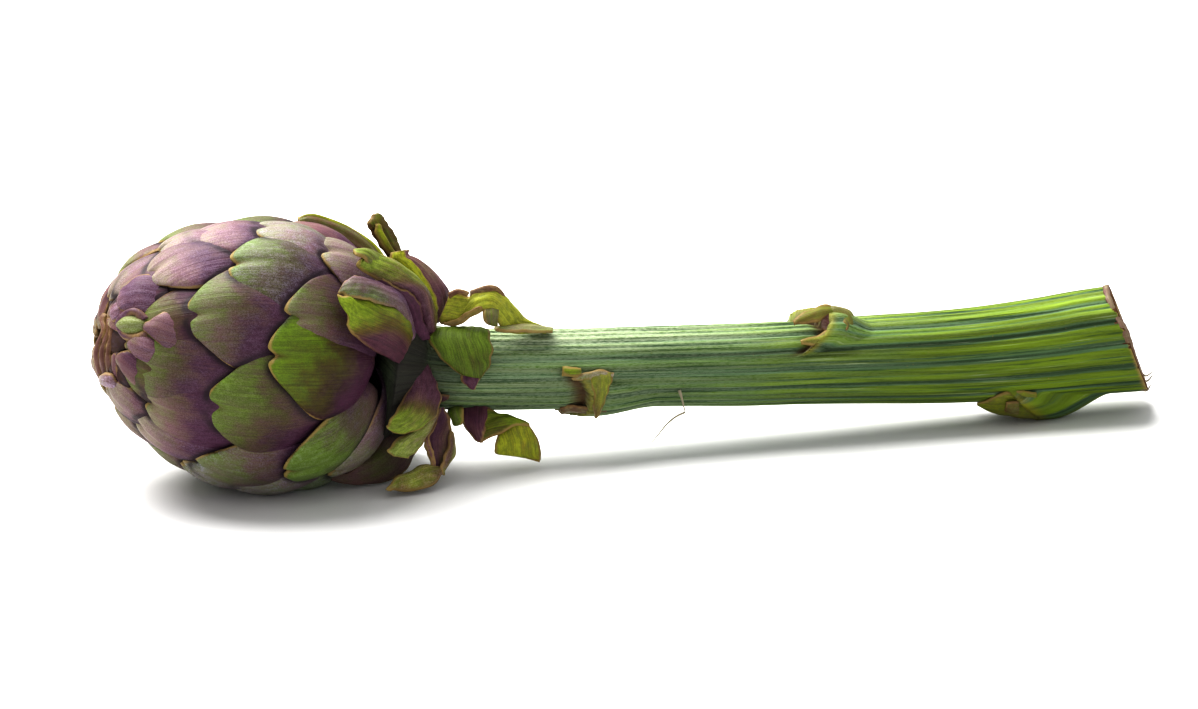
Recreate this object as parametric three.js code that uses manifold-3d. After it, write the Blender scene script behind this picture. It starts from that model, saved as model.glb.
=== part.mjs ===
// An artichoke cut with a long stalk, lying on its side. Millimetres, +Z up.
// Origin: the middle of the small flat spot under the head. +X runs along the
// stalk to its cut end, and the head's apex points to -X, a little upwards.
import * as THREE from "three";
import { mergeVertices } from "three/addons/utils/BufferGeometryUtils.js";
import Module from "manifold-3d";

const wasm = await Module();
wasm.setup();

// ---- driving dimensions ----------------------------------------------------
const HEAD_RADIUS = 38.7;       // middle to the widest bracts
const HEAD_FRONT = 48.5;        // middle to the apex
const HEAD_BACK = 42.0;         // middle to the base, before it narrows into the neck
const HEAD_HEIGHT = 37.9;       // middle of the head above the surface
const HEAD_TILT = 8.35;         // degrees that the apex end is raised
const NECK_AT = 47.0;           // middle of the head to where the stalk begins
const NECK_RADIUS = 12.2;
const CORE_DEPTH = 4.0;         // the bracts' bed lies this far below their faces
const SEAM = 0.3;               // clear gap between neighbouring pieces

const BRACTS = 63;              // bracts laid along the spiral
const GOLDEN_TURN = 137.806;    // degrees from one bract to the next
const FIRST_TURN = 44.413;      // degrees of the first bract round the head
const TIP_START = 19.9;         // polar angle of the first tip, from the apex
const TIP_STEP = 0.802;
const TIP_POWER = 1.166;
const BRACT_THICK = 1.2;        // edge of a bract
const BRACT_SLOPE = 0.02;       // how a bract's face falls from its tip, per mm
const BRACT_DIVE = 0.0042;      // and how it dives under its neighbours, per mm squared
const BRACT_CROWN = 1.2;        // arch across a bract
const TIP_HEIGHT = 1.3;         // a bract's tip above the head's mean face
const BUD_BRACTS = 10;          // small bracts folded in round the apex
const BUD_SINK = 2.4;           // the bud lies this far below the mean face
const SCATTER_SEED = 20411;

// Where the head is less full than an egg: the way out to that side, how deep it is
// pressed in there in millimetres, and how sharply that fades. It lies on the first.
const PRESSED = [
  { way: [0, 0, -1], depth: 1.1, power: 6 },
  { way: [-0.75, 0.03, -0.66], depth: 4.4, power: 8 },
  { way: [-0.05, 0.24, 0.97], depth: 1.8, power: 14 },
];

const STALK_RIBS = 14;
const RIB_HEIGHT = 0.55;
const RIB_TWIST = 0.05;         // degrees per millimetre of stalk
const LEAF_THICK = 1.1;
const SHORTEST_EDGE = 0.05;     // slivers left by a join are closed up to this size

// Bracts left out because a spread bract or the open base takes their place.
const FALLEN = [44, 52, 57, 60];

// How single bracts settled away from the spiral:
// number: [round the head, from the apex, wider, roll, lift] in degrees and mm.
const SETTLED = {
  2: [-3.8, -0.4, 0, 4, 0.2], 3: [-15.5, -1.6, 0, 0, 0.2], 5: [3.8, 4.2, -5, 8, 0.4],
  8: [1, -4.2, 0, -6, 0.2], 10: [13.8, -1.6, 2, 6, 0], 13: [-11.8, 1, 0, 10, 0.2],
  15: [4.1, 1.4, 0, 0, 0], 16: [-2.7, 7.4, 0, -4, 0.2], 18: [-4.2, -6, 8, 2, 0.5],
  21: [4.5, -7, 1, 12, 0.4], 23: [4.8, -8.4, 6, 11, 0], 26: [2.9, 0.3, 5, 2, 0.4], 28: [-2, 4.2, 2, 0, 0],
  31: [-7.2, 1.7, 2, 4, 0.5], 34: [4.8, 2.9, 4, -8, 0.5], 36: [-14.2, -6, 0, 0, 0.2],
  39: [-5.3, 6.8, 1, 4, 0.8], 42: [7.7, -0.1, 0, -6, 0.2], 47: [-11.9, -2.5, -4, 0, 0],
  49: [2.7, 1.4, -12, 14, 0.8],
};

// The stalk's axis: [x, z, radius]; it lies in the plane y = 0.
const STALK = [
  [46.8, 31.0, 12.1], [60, 29.1, 11.8], [89, 27.0, 11.8], [108, 25.9, 11.9],
  [127, 24.9, 11.9], [146, 23.9, 12.1], [165, 23.2, 12.4], [187, 22.2, 13.1],
  [205, 21.4, 13.7], [222, 21.2, 14.4], [240, 21.6, 15.2], [257, 22.3, 15.8], [272.6, 22.7, 16.2],
];
const CUT_LEAN = 0.408;         // the cut face leans back: mm along the stalk per mm of height,
const CUT_SKEW = 0.36;          // and per mm from its near side to its far side
const STALK_STEPS = 24;         // facets along the stalk

// Scars of shed leaves: where the open face is, its side (0 = front, 90 = up),
// how far it clasps round, its height, its slope and its two lips.
const SCARS = [
  { x: 96, side: -48, clasp: 60, rise: 2.7, run: 22, lips: [10, 6] },
  { x: 170, side: 66, clasp: 44, rise: 5.2, run: 15, lips: [10, 9] },
  { x: 240, side: -84, clasp: 48, rise: 6.8, run: 22, lips: [19, 12] },
];

// Spread bracts and stalk leaves. Each row is one place along the blade, from its
// root to its tip: [x, y, z, half width, facing x, y, z, curl in degrees].
const LEAVES = {
  bract_open_back: { colour: 0x6b5a35, notch: 0.08, rows: [
    [41, 9, 43, 3.5, 0.8, 0.3, 0.5, 20], [43.5, 15, 51, 5.5, 0.7, 0.4, 0.6, 25],
    [40.5, 17.5, 58.5, 8, 0.45, 0.55, 0.7, 28], [33, 18, 64.5, 9, 0.35, 0.6, 0.7, 30],
    [24, 17, 69.3, 8.5, 0.3, 0.6, 0.75, 30], [14.5, 15, 72.3, 5, 0.25, 0.6, 0.75, 30]] },
  bract_rolled_tip: { colour: 0x3d4219, notch: 0.05, rows: [
    [42.5, 2, 44, 4, 0.9, 0.2, 0.4, 60], [44.2, 3, 53, 5, 0.9, 0.2, 0.4, 100],
    [42.3, 6.5, 62, 5.6, 0.9, 0.3, 0.3, 130], [39.6, 7, 68.4, 5.6, 0.9, 0.3, 0.3, 135],
    [36.2, 7, 74.2, 4.2, 0.9, 0.3, 0.3, 120]] },
  bract_upright: { colour: 0x6d2f42, notch: 0.1, rows: [
    [45.5, -2, 40.5, 3.5, 0.9, -0.3, 0.2, 40], [51.3, -2, 44.5, 4.5, 0.9, -0.35, 0.2, 50],
    [53.2, -3, 50.6, 5.5, 0.85, -0.4, 0.35, 55], [50.3, -3, 56.6, 5.5, 0.75, -0.4, 0.5, 55],
    [45.4, -3, 61.6, 4.6, 0.65, -0.4, 0.6, 50], [40.8, -3, 64.6, 2.6, 0.6, -0.4, 0.7, 40]] },
  bract_arching: { colour: 0x6f8f35, notch: 0.12, rows: [
    [44, -9, 39.5, 3, 0.9, -0.4, 0.2, 20], [48.3, -11.5, 45.8, 4.6, 0.9, -0.45, 0.3, 28],
    [46.2, -15.5, 53.6, 6.2, 0.75, -0.5, 0.45, 32], [40.8, -19, 60.2, 7.5, 0.5, -0.5, 0.7, 34],
    [34.6, -21.5, 65.4, 7.5, 0.35, -0.5, 0.8, 34], [27.9, -24, 69.3, 6.5, 0.2, -0.5, 0.85, 30],
    [22.8, -25.5, 71.2, 4.5, 0.1, -0.5, 0.85, 24]] },
  bract_folded: { colour: 0x7f9a3a, notch: 0.1, rows: [
    [39.5, -13, 35, 6, 0.7, -0.7, 0.1, 20], [39.4, -20, 40.5, 9, 0.6, -0.8, 0.2, 28],
    [37.2, -26.5, 47, 11.5, 0.45, -0.85, 0.3, 34], [31.6, -32.2, 52.6, 12, 0.25, -0.85, 0.45, 36],
    [24, -35, 56.8, 10.5, 0.1, -0.85, 0.5, 34], [17.8, -34, 59, 7.5, 0, -0.85, 0.55, 28]] },
  bract_hanging_front: { colour: 0x6c7c35, notch: 0.16, rows: [
    [43.5, -9.5, 37, 2.5, 0.5, -0.8, 0.4, 10], [45, -14.5, 34.5, 4.5, 0.5, -0.85, 0.3, 20],
    [44.6, -19.5, 30.5, 6.2, 0.45, -0.9, 0.1, 26], [42.2, -23.5, 26, 7.2, 0.35, -0.9, -0.1, 28],
    [37.2, -27.3, 21.8, 7.2, 0.1, -0.9, -0.3, 24], [32, -28.5, 18.8, 5, 0, -0.9, -0.4, 14]] },
  bract_hanging_low: { colour: 0x5a2433, notch: 0.06, rows: [
    [43.5, -8, 22.5, 3, 0.8, 0.2, 0.3, 20], [48.4, -10.5, 19.2, 5, 0.9, 0.25, 0.25, 40],
    [49.8, -14, 13.4, 6.5, 0.9, 0.35, 0, 55], [47.8, -18.5, 8.4, 6, 0.7, 0.45, -0.4, 45],
    [43.2, -23, 6, 4.6, 0.4, 0.5, -0.75, 35], [36.6, -27, 5.2, 4, 0.2, 0.5, -0.85, 25],
    [29.6, -30, 5, 1.6, 0.1, 0.5, -0.85, 15]] },
  bract_spread_back: { colour: 0x66712f, notch: 0.1, rows: [
    [42, 9.5, 31, 4.5, 0.8, 0.6, 0.1, 20], [44, 19, 35, 7, 0.7, 0.7, 0.2, 28],
    [39.5, 28.5, 39.5, 10, 0.5, 0.85, 0.3, 32], [32, 35, 43.5, 11, 0.3, 0.9, 0.3, 34],
    [23, 38.8, 46.5, 9.5, 0.15, 0.95, 0.25, 32], [14.5, 40, 48.5, 6, 0.05, 0.95, 0.25, 26]] },
  bract_hanging_back: { colour: 0x6a3350, notch: 0.12, rows: [
    [43.5, 9, 25, 3.5, 0.7, 0.6, -0.2, 15], [48, 15, 21, 5.5, 0.7, 0.65, -0.1, 25],
    [48, 21, 16, 7, 0.6, 0.75, -0.2, 30], [44, 26, 11.5, 6.8, 0.3, 0.85, -0.4, 30],
    [38, 29.5, 8.8, 4.6, 0.1, 0.85, -0.5, 22]] },
  stalk_leaf_twisted: { colour: 0x93a04a, notch: 0, rows: [
    [85, -1.5, 36.5, 4, 0.3, -0.4, 0.9, 10], [78.5, -2.4, 42, 4, 0.5, -0.5, 0.8, 20],
    [72, -4, 49, 4.2, 0.7, -0.6, 0.6, 25], [66, -6, 52.6, 4, 0.2, -0.9, 0.6, 25],
    [60.8, -7, 51, 4, -0.3, -0.95, 0.3, 25], [56.4, -7, 49.6, 4.4, -0.2, -1, 0.2, 20],
    [53, -7, 48.6, 3.2, -0.1, -1, 0.2, 10]] },
  stalk_leaf_flap: { colour: 0x4f8a28, notch: 0, rows: [
    [58.5, -2, 39, 6, 0, 0.1, 1, 0], [57.5, -7, 43.4, 8.4, 0, -0.4, 0.95, 8],
    [56.6, -12.5, 42.4, 8.8, 0.05, -0.75, 0.7, 15], [56.6, -16.3, 38.6, 8, 0.1, -0.95, 0.3, 22],
    [57.8, -17, 33.6, 5.2, 0.1, -1, 0, 20], [59.2, -15.6, 28.6, 1.4, 0.1, -1, -0.3, 10]] },
  stalk_leaf_spiral: { colour: 0x5d6a22, notch: 0, rows: [
    [64, -2, 20, 4.5, 0.2, -0.3, -0.95, 10], [62.4, -6.5, 16.5, 5, 0.3, -0.8, -0.5, 20],
    [63, -11, 12.8, 5, 0.3, -0.9, -0.1, 25], [66, -13.5, 10.8, 5, 0.1, -0.95, 0.2, 25],
    [70.4, -13.6, 11, 5.2, -0.1, -0.9, 0.45, 28], [74.4, -13, 10.2, 5, 0.3, -0.85, 0.4, 30],
    [77, -13, 7.6, 3.8, 0.7, -0.7, 0.2, 28], [78.4, -13.6, 4.8, 1.6, 0.85, -0.5, 0.1, 20]] },
};

// ---- small helpers ---------------------------------------------------------
const rad = THREE.MathUtils.degToRad;
const vec = (x, y, z) => new THREE.Vector3(x, y, z);

/** Seeded random numbers from 0 to 1. */
function scatter(seed) {
  let state = seed;
  return () => {
    state = (state * 1664525 + 1013904223) % 4294967296;
    return state / 4294967296;
  };
}

/** A smooth blend through a list of number rows, at t from 0 to 1. */
function blendRows(rows, t) {
  const spans = rows.length - 1;
  const k = Math.min(Math.floor(t * spans), spans - 1);
  const f = t * spans - k;
  const [a, b, c, d] = [k - 1, k, k + 1, k + 2].map((i) => rows[Math.min(Math.max(i, 0), spans)]);
  return b.map((_, j) => b[j] + 0.5 * f * (c[j] - a[j]
    + f * (2 * a[j] - 5 * b[j] + 4 * c[j] - d[j]
    + f * (3 * (b[j] - c[j]) + d[j] - a[j]))));
}

/** A closed solid from its points and faces, turned to face outwards. */
function solidFrom(points, faces) {
  const flat = points.flatMap((p) => [p.x, p.y, p.z]);
  const make = (list) => new wasm.Manifold(new wasm.Mesh({
    numProp: 3, vertProperties: new Float32Array(flat), triVerts: new Uint32Array(list.flat()),
  }));
  const solid = make(faces);
  return solid.volume() > 0 ? solid : make(faces.map(([a, b, c]) => [a, c, b]));
}

/** A solid from a three.js geometry. */
function solidOf(geometry) {
  const bare = geometry.clone();
  bare.deleteAttribute("normal");
  bare.deleteAttribute("uv");
  const merged = mergeVertices(bare, 1e-3);
  const place = merged.getAttribute("position");
  const points = Array.from({ length: place.count }, (_, i) => vec().fromBufferAttribute(place, i));
  const index = merged.getIndex().array;
  const faces = [];
  for (let i = 0; i < index.length; i += 3) {
    const [a, b, c] = [index[i], index[i + 1], index[i + 2]];
    if (a !== b && b !== c && a !== c) faces.push([a, b, c]);
  }
  return solidFrom(points, faces);
}

/** The edge of a grid of points, once round. */
function rimOf(grid) {
  const last = grid.length - 1;
  const width = grid[0].length - 1;
  const rim = [];
  for (let j = 0; j < width; j += 1) rim.push(grid[0][j]);
  for (let i = 0; i < last; i += 1) rim.push(grid[i][width]);
  for (let j = width; j > 0; j -= 1) rim.push(grid[last][j]);
  for (let i = last; i > 0; i -= 1) rim.push(grid[i][0]);
  return rim;
}

/** A blade between two grids of points, with the same diagonals on both faces. */
function bladeSolid(upper, lower) {
  const across = upper[0].length;
  const points = [...upper.flat(), ...lower.flat()];
  const under = upper.length * across;
  const ids = upper.map((row, i) => row.map((_, j) => i * across + j));
  const faces = [];
  for (let i = 0; i + 1 < upper.length; i += 1) {
    for (let j = 0; j + 1 < across; j += 1) {
      const [a, b, c, d] = [ids[i][j], ids[i][j + 1], ids[i + 1][j + 1], ids[i + 1][j]];
      faces.push([a, b, c], [a, c, d]);
      faces.push([under + a, under + c, under + b], [under + a, under + d, under + c]);
    }
  }
  const rim = rimOf(ids);
  rim.forEach((a, i) => {
    const b = rim[(i + 1) % rim.length];
    faces.push([b, a, under + a], [b, under + a, under + b]);
  });
  return solidFrom(points, faces);
}

/** A scale: a grid of points on top, an edge, and an underside drawn in to one root. */
function scaleSolid(upper, edge, root) {
  const across = upper[0].length;
  const ids = upper.map((row, i) => row.map((_, j) => i * across + j));
  const start = upper.length * across;
  const points = [...upper.flat(), ...edge, root];
  const faces = [];
  for (let i = 0; i + 1 < upper.length; i += 1) {
    for (let j = 0; j + 1 < across; j += 1) {
      const [a, b, c, d] = [ids[i][j], ids[i][j + 1], ids[i + 1][j + 1], ids[i + 1][j]];
      faces.push([a, b, c], [a, c, d]);
    }
  }
  rimOf(ids).forEach((a, i, rim) => {
    const b = rim[(i + 1) % rim.length];
    const [low, next] = [start + i, start + ((i + 1) % rim.length)];
    faces.push([b, a, low], [b, low, next], [next, low, points.length - 1]);
  });
  return solidFrom(points, faces);
}

/** The one outer body of a solid: sealed hollows are filled, scraps and sliver edges dropped. */
function outerBody(solid) {
  const bodies = solid.simplify(SHORTEST_EDGE).decompose();
  return bodies.reduce((best, body) => (body.volume() > best.volume() ? body : best));
}

/** A solid as a named mesh. */
function meshOf(name, solid, colour, roughness) {
  const { vertProperties, triVerts } = solid.getMesh();
  const geometry = new THREE.BufferGeometry();
  geometry.setAttribute("position", new THREE.BufferAttribute(vertProperties, 3));
  geometry.setIndex(new THREE.BufferAttribute(triVerts, 1));
  geometry.computeVertexNormals();
  const mesh = new THREE.Mesh(
    geometry, new THREE.MeshStandardMaterial({ color: colour, roughness, metalness: 0 }));
  mesh.name = name;
  return mesh;
}

/** What lies below the surface that the artichoke rests on. */
function groundSolid() {
  const deep = 60;
  const ground = new THREE.BoxGeometry(800, 400, deep);
  ground.translate(0, 0, -deep / 2);
  return solidOf(ground);
}

// ---- the head --------------------------------------------------------------
const tilt = rad(HEAD_TILT);
const middle = vec(0, 0, HEAD_HEIGHT);
const forward = vec(-Math.cos(tilt), 0, Math.sin(tilt));   // towards the apex
const front = vec(0, -1, 0);
const upward = vec(Math.sin(tilt), 0, Math.cos(tilt));

/** How far the head is pressed in where its surface faces along a normal. */
function pressedIn(normal) {
  return PRESSED.reduce(
    (sum, { way, depth, power }) => sum + depth * Math.max(normal.dot(vec(...way)), 0) ** power, 0);
}

/** The point of the head's mean face in a direction from its middle, raised by height. */
function onHead(direction, height) {
  const along = direction.dot(forward);
  const reach = along > 0 ? HEAD_FRONT : HEAD_BACK;
  const side = direction.clone().addScaledVector(forward, -along);
  const normal = side.clone().divideScalar(HEAD_RADIUS)
    .addScaledVector(forward, along / reach).normalize();
  return middle.clone().addScaledVector(forward, along * reach)
    .addScaledVector(side, HEAD_RADIUS).addScaledVector(normal, height - pressedIn(normal));
}

/** Where bract n's tip lies and how wide and long it is. */
function bractPlan(n, random) {
  const loose = [6 * random() - 3, 3 * random() - 1.5, 2 * random() - 1, 14 * random() - 7, 0.6 * random()];
  const [turn, slip, wider, roll, lift] = SETTLED[n] ?? loose;
  const polar = TIP_START + TIP_STEP * n ** TIP_POWER + slip;
  const full = polar < 95 ? 10 + 0.33 * polar : 41.4 - 0.5 * (polar - 95);
  return {
    round: FIRST_TURN + GOLDEN_TURN * n + turn, polar, roll, lift,
    width: full + wider, length: Math.min(16 + 0.3 * polar, 42),
  };
}

/** A small bract of the bud that closes the apex. */
function budPlan(k, random) {
  return {
    round: FIRST_TURN - GOLDEN_TURN * (k + 1), polar: 15 - k + 2 * random(), roll: 30 * (random() - 0.5),
    lift: 0.9 * random() - BUD_SINK, width: 12 - 0.4 * k, length: 15,
  };
}

/** How far the edge of a tip is set back from its middle, for u from -1 to 1. */
function tipEdge(u, width) {
  const scale = Math.min(width / 37, 1);
  return scale * (5.7 * Math.abs(u) ** 2.2 - 2.2 * (1 - Math.exp(-((u / 0.14) ** 2))));
}

/** Half the width of a bract at v, from its tip to its root. */
function bractHalf(v, width) {
  const fullAt = 0.42;
  if (v < fullAt) return width / 2 * (0.5 + 0.5 * Math.sin(Math.PI / 2 * v / fullAt) ** 0.8);
  return width / 2 * (1 - 0.4 * ((v - fullAt) / (1 - fullAt)) ** 2);
}

/** A point of a bract: u across from -1 to 1, v from tip to root, sunk below its face. */
function bractPoint(plan, u, v, sunk) {
  const turn = rad(plan.round);
  const polar = rad(plan.polar);
  const radial = front.clone().multiplyScalar(Math.cos(turn))
    .addScaledVector(upward, Math.sin(turn));
  const round = front.clone().multiplyScalar(-Math.sin(turn))
    .addScaledVector(upward, Math.cos(turn));
  const tip = forward.clone().multiplyScalar(Math.cos(polar))
    .addScaledVector(radial, Math.sin(polar));
  const down = forward.clone().multiplyScalar(-Math.sin(polar))
    .addScaledVector(radial, Math.cos(polar));
  const roll = rad(plan.roll);
  const heading = down.clone().multiplyScalar(Math.cos(roll)).addScaledVector(round, Math.sin(roll));
  const across = round.clone().multiplyScalar(Math.cos(roll)).addScaledVector(down, -Math.sin(roll));
  const y = v * plan.length + (1 - v) ** 2 * tipEdge(u, plan.width);
  const x = u * bractHalf(v, plan.width);
  const meanRadius = (HEAD_RADIUS + HEAD_FRONT) / 2;
  const spine = tip.clone().multiplyScalar(Math.cos(y / meanRadius))
    .addScaledVector(heading, Math.sin(y / meanRadius));
  const place = spine.multiplyScalar(Math.cos(x / HEAD_RADIUS))
    .addScaledVector(across, Math.sin(x / HEAD_RADIUS));
  const arch = BRACT_CROWN * (1 - u * u) * Math.min(plan.width / 30, 1);
  const fall = BRACT_SLOPE * y + BRACT_DIVE * y * y;
  const height = TIP_HEIGHT + arch * Math.min(3 * v, 1) - fall + plan.lift * (1 - v) ** 2;
  return onHead(place, height - sunk);
}

/** One bract of the closed head, with its root sunk in the core. */
function bractSolid(plan) {
  const columns = plan.width > 16 ? [-1, -0.62, -0.28, 0, 0.28, 0.62, 1] : [-1, -0.4, 0, 0.4, 1];
  const rows = [0, 0.2, 0.5, 0.84];
  const face = rows.map((v) => columns.map((u) => bractPoint(plan, u, v, 0)));
  const edge = rimOf(rows.map((v) => columns.map((u) => bractPoint(plan, u, v, BRACT_THICK))));
  return scaleSolid(face, edge, bractPoint(plan, 0, 0.66, 14));
}

/** The dense heart that the bracts grow from, narrowing into the neck. */
function coreSolid() {
  const outline = [new THREE.Vector2(0, HEAD_FRONT - 9)];
  for (let polar = 18; polar <= 126; polar += 18) {
    const reach = polar < 90 ? HEAD_FRONT : HEAD_BACK;
    outline.push(new THREE.Vector2(
      (HEAD_RADIUS - CORE_DEPTH) * Math.sin(rad(polar)), (reach - CORE_DEPTH) * Math.cos(rad(polar))));
  }
  outline.push(new THREE.Vector2(25, -34), new THREE.Vector2(20, -40), new THREE.Vector2(15.5, -44.5));
  outline.push(new THREE.Vector2(NECK_RADIUS, -NECK_AT), new THREE.Vector2(0, -NECK_AT));
  const core = new THREE.LatheGeometry(outline, 24);
  const axes = new THREE.Matrix4().makeBasis(front, forward, upward.clone().negate());
  core.applyMatrix4(axes.setPosition(middle));
  const place = core.getAttribute("position");
  for (let i = 0; i < place.count; i += 1) {
    const point = vec().fromBufferAttribute(place, i);
    const away = point.clone().sub(middle).normalize();
    point.addScaledVector(away, -pressedIn(away));
    place.setXYZ(i, point.x, point.y, point.z);
  }
  return solidOf(core);
}

function headSolid() {
  const random = scatter(SCATTER_SEED);
  let head = coreSolid();
  for (let k = 0; k < BUD_BRACTS; k += 1) head = head.add(bractSolid(budPlan(k, random)));
  for (let n = 0; n < BRACTS; n += 1) {
    const plan = bractPlan(n, random);
    if (!FALLEN.includes(n)) head = head.add(bractSolid(plan));
  }
  return head;
}

// ---- the stalk -------------------------------------------------------------
/** The stalk's frame at t from 0 to 1: a point on its axis, its way, up and radius. */
function stalkFrame(t) {
  const [x, z, radius] = blendRows(STALK, t);
  const [xa, za] = blendRows(STALK, Math.max(t - 0.01, 0));
  const [xb, zb] = blendRows(STALK, Math.min(t + 0.01, 1));
  const way = t === 0 ? forward.clone().negate() : vec(xb - xa, 0, zb - za).normalize();
  return { centre: vec(x, 0, z), way, up: vec(-way.z, 0, way.x), radius };
}

/** The place t along the stalk whose axis has this x. */
function stalkPlace(x) {
  let [low, high] = [0, 1];
  for (let i = 0; i < 30; i += 1) {
    const half = (low + high) / 2;
    if (blendRows(STALK, half)[0] < x) low = half;
    else high = half;
  }
  return low;
}

/** A point at an angle round the stalk (0 = front, 90 = up) and a height off its radius. */
function onStalk(t, angle, height) {
  const { centre, up, radius } = stalkFrame(t);
  return centre.clone().addScaledVector(front, (radius + height) * Math.cos(rad(angle)))
    .addScaledVector(up, (radius + height) * Math.sin(rad(angle)));
}

/** The bare stalk: ribs run along it, and its end is cut at a slant. */
function stalkSolid() {
  const random = scatter(SCATTER_SEED + 1);
  const ribs = Array.from({ length: STALK_RIBS }, () => RIB_HEIGHT * (0.6 + 0.8 * random()));
  const around = 3 * STALK_RIBS;
  const points = [];
  for (let i = 0; i <= STALK_STEPS; i += 1) {
    const t = i / STALK_STEPS;
    const { centre } = stalkFrame(t);
    const cut = Math.max(0, (t - 0.86) / 0.14);
    for (let j = 0; j < around; j += 1) {
      const rib = ribs[Math.floor(j / 3)] * (j % 3 === 0 ? -1 : 0.4);
      const angle = 360 * j / around + RIB_TWIST * (centre.x - STALK[0][0]);
      const point = onStalk(t, angle, rib);
      point.x += cut * (CUT_SKEW * point.y - CUT_LEAN * (point.z - centre.z));
      points.push(point);
    }
  }
  const ends = [stalkFrame(0).centre, stalkFrame(1).centre];
  const shift = forward.clone().multiplyScalar(-SEAM);
  for (const point of [...points.slice(0, around), ends[0]]) point.add(shift);
  const faces = [];
  for (let i = 0; i < STALK_STEPS; i += 1) {
    for (let j = 0; j < around; j += 1) {
      const next = (j + 1) % around;
      const [a, b] = [i * around + j, i * around + next];
      faces.push([a, b, b + around], [a, b + around, a + around]);
    }
  }
  const last = STALK_STEPS * around;
  for (let j = 0; j < around; j += 1) {
    const next = (j + 1) % around;
    faces.push([next, j, points.length], [last + j, last + next, points.length + 1]);
  }
  return solidFrom([...points, ...ends], faces);
}

/** A leaf scar: a raised base that clasps the stalk and ends in an open, lipped face. */
function scarSolid({ x, side, clasp, rise, run, lips }) {
  const columns = [-1, -0.66, -0.33, 0, 0.33, 0.66, 1];
  const rows = [0, 0.3, 0.62, 0.85, 1];
  const place = (u, v, sunk) => {
    const lip = lips[u < 0 ? 0 : 1] * Math.abs(u) ** 1.6;
    const at = x + run - v * (run + lip);
    const crown = rise * (1 - 0.6 * u * u) * Math.sin(Math.PI / 2 * Math.min(1, 1.25 * v)) ** 1.4;
    return onStalk(stalkPlace(at), side + clasp * u * (0.35 + 0.65 * v), crown - sunk);
  };
  const upper = rows.map((v) => columns.map((u) => place(u, v, 0.4 * (1 - v))));
  const lower = rows.map((v) => columns.map((u) => place(u, v, 4.5 + rise)));
  return bladeSolid(upper, lower);
}

// ---- spread bracts and stalk leaves ----------------------------------------
/** A point of a leaf: u across, v from root to tip, on its outer (1) or inner (-1) face. */
function leafPoint(leaf, u, v, face, grow) {
  const setBack = leaf.notch * Math.exp(-((u / 0.3) ** 2)) + 0.12 * Math.abs(u) ** 3;
  const t = v * (1 - setBack * v ** 3);
  const row = blendRows(leaf.rows, t);
  const ahead = blendRows(leaf.rows, Math.min(t + 0.02, 1));
  const behind = blendRows(leaf.rows, Math.max(t - 0.02, 0));
  const way = vec(ahead[0] - behind[0], ahead[1] - behind[1], ahead[2] - behind[2]).normalize();
  const facing = vec(row[4], row[5], row[6]);
  facing.addScaledVector(way, -facing.dot(way)).normalize();
  const across = way.clone().cross(facing);
  const curl = Math.max(rad(row[7]), 0.02);
  const radius = (row[3] + grow) / curl;
  const normal = facing.clone().multiplyScalar(Math.cos(curl * u))
    .addScaledVector(across, Math.sin(curl * u));
  const end = v === 0 ? -grow : (v === 1 ? grow : 0);
  return vec(row[0], row[1], row[2])
    .addScaledVector(across, radius * Math.sin(curl * u))
    .addScaledVector(facing, radius * (Math.cos(curl * u) - 1))
    .addScaledVector(normal, face * (LEAF_THICK / 2 + grow))
    .addScaledVector(way, end);
}

/** A spread bract or stalk leaf; grow makes the clearance cut for it. */
function leafSolid(leaf, grow) {
  const columns = [-1, -0.5, 0, 0.5, 1];
  const steps = 2 * (leaf.rows.length - 1);
  const rows = Array.from({ length: steps + 1 }, (_, i) => i / steps);
  const grid = (face) => rows.map((v) => columns.map((u) => leafPoint(leaf, u, v, face, grow)));
  return bladeSolid(grid(1), grid(-1));
}

// ---- the whole artichoke ---------------------------------------------------
const ground = groundSolid();
const slots = Object.values(LEAVES).map((leaf) => leafSolid(leaf, SEAM));
const clear = (solid) => slots.reduce((rest, slot) => rest.subtract(slot), solid);

const stalk = SCARS.reduce((solid, scar) => solid.add(scarSolid(scar)), stalkSolid());
const group = new THREE.Group();
group.add(meshOf("head", outerBody(clear(headSolid()).subtract(ground)), 0x6a5560, 0.6));
group.add(meshOf("stalk", outerBody(clear(stalk).subtract(ground)), 0x7f9a5a, 0.6));
for (const [name, leaf] of Object.entries(LEAVES)) {
  group.add(meshOf(name, leafSolid(leaf, 0), leaf.colour, 0.55));
}

export default group;
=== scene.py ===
"""A fresh artichoke lying on its side: its head of bracts, its ribbed stalk and a pale studio."""

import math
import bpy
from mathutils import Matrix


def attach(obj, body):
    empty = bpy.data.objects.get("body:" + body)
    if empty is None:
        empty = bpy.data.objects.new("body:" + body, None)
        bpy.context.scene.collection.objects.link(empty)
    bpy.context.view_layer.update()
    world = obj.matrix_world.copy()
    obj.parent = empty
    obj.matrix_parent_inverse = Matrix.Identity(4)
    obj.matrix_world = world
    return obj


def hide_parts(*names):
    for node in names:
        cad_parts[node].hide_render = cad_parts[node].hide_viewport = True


bl_info = {
    "name": "Artichoke",
    "version": (1, 0, 0),
    "blender": (4, 5, 0),
    "location": "View3D > Sidebar > Artichoke",
    "description": "Grows a violet artichoke with its stalk, spread bracts and stalk leaves",
    "category": "Object",
}

from functools import partial

import bpy
import numpy as np
from mathutils import Matrix, Vector
from mathutils.kdtree import KDTree

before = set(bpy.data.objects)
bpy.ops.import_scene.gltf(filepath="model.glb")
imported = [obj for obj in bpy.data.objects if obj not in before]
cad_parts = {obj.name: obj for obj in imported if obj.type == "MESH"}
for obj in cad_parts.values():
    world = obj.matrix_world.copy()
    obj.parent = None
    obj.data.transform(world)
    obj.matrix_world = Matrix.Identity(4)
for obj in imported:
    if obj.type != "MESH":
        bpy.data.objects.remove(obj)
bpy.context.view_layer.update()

MM = 0.001                      # metres in a millimetre
PANEL = "Artichoke"

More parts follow.
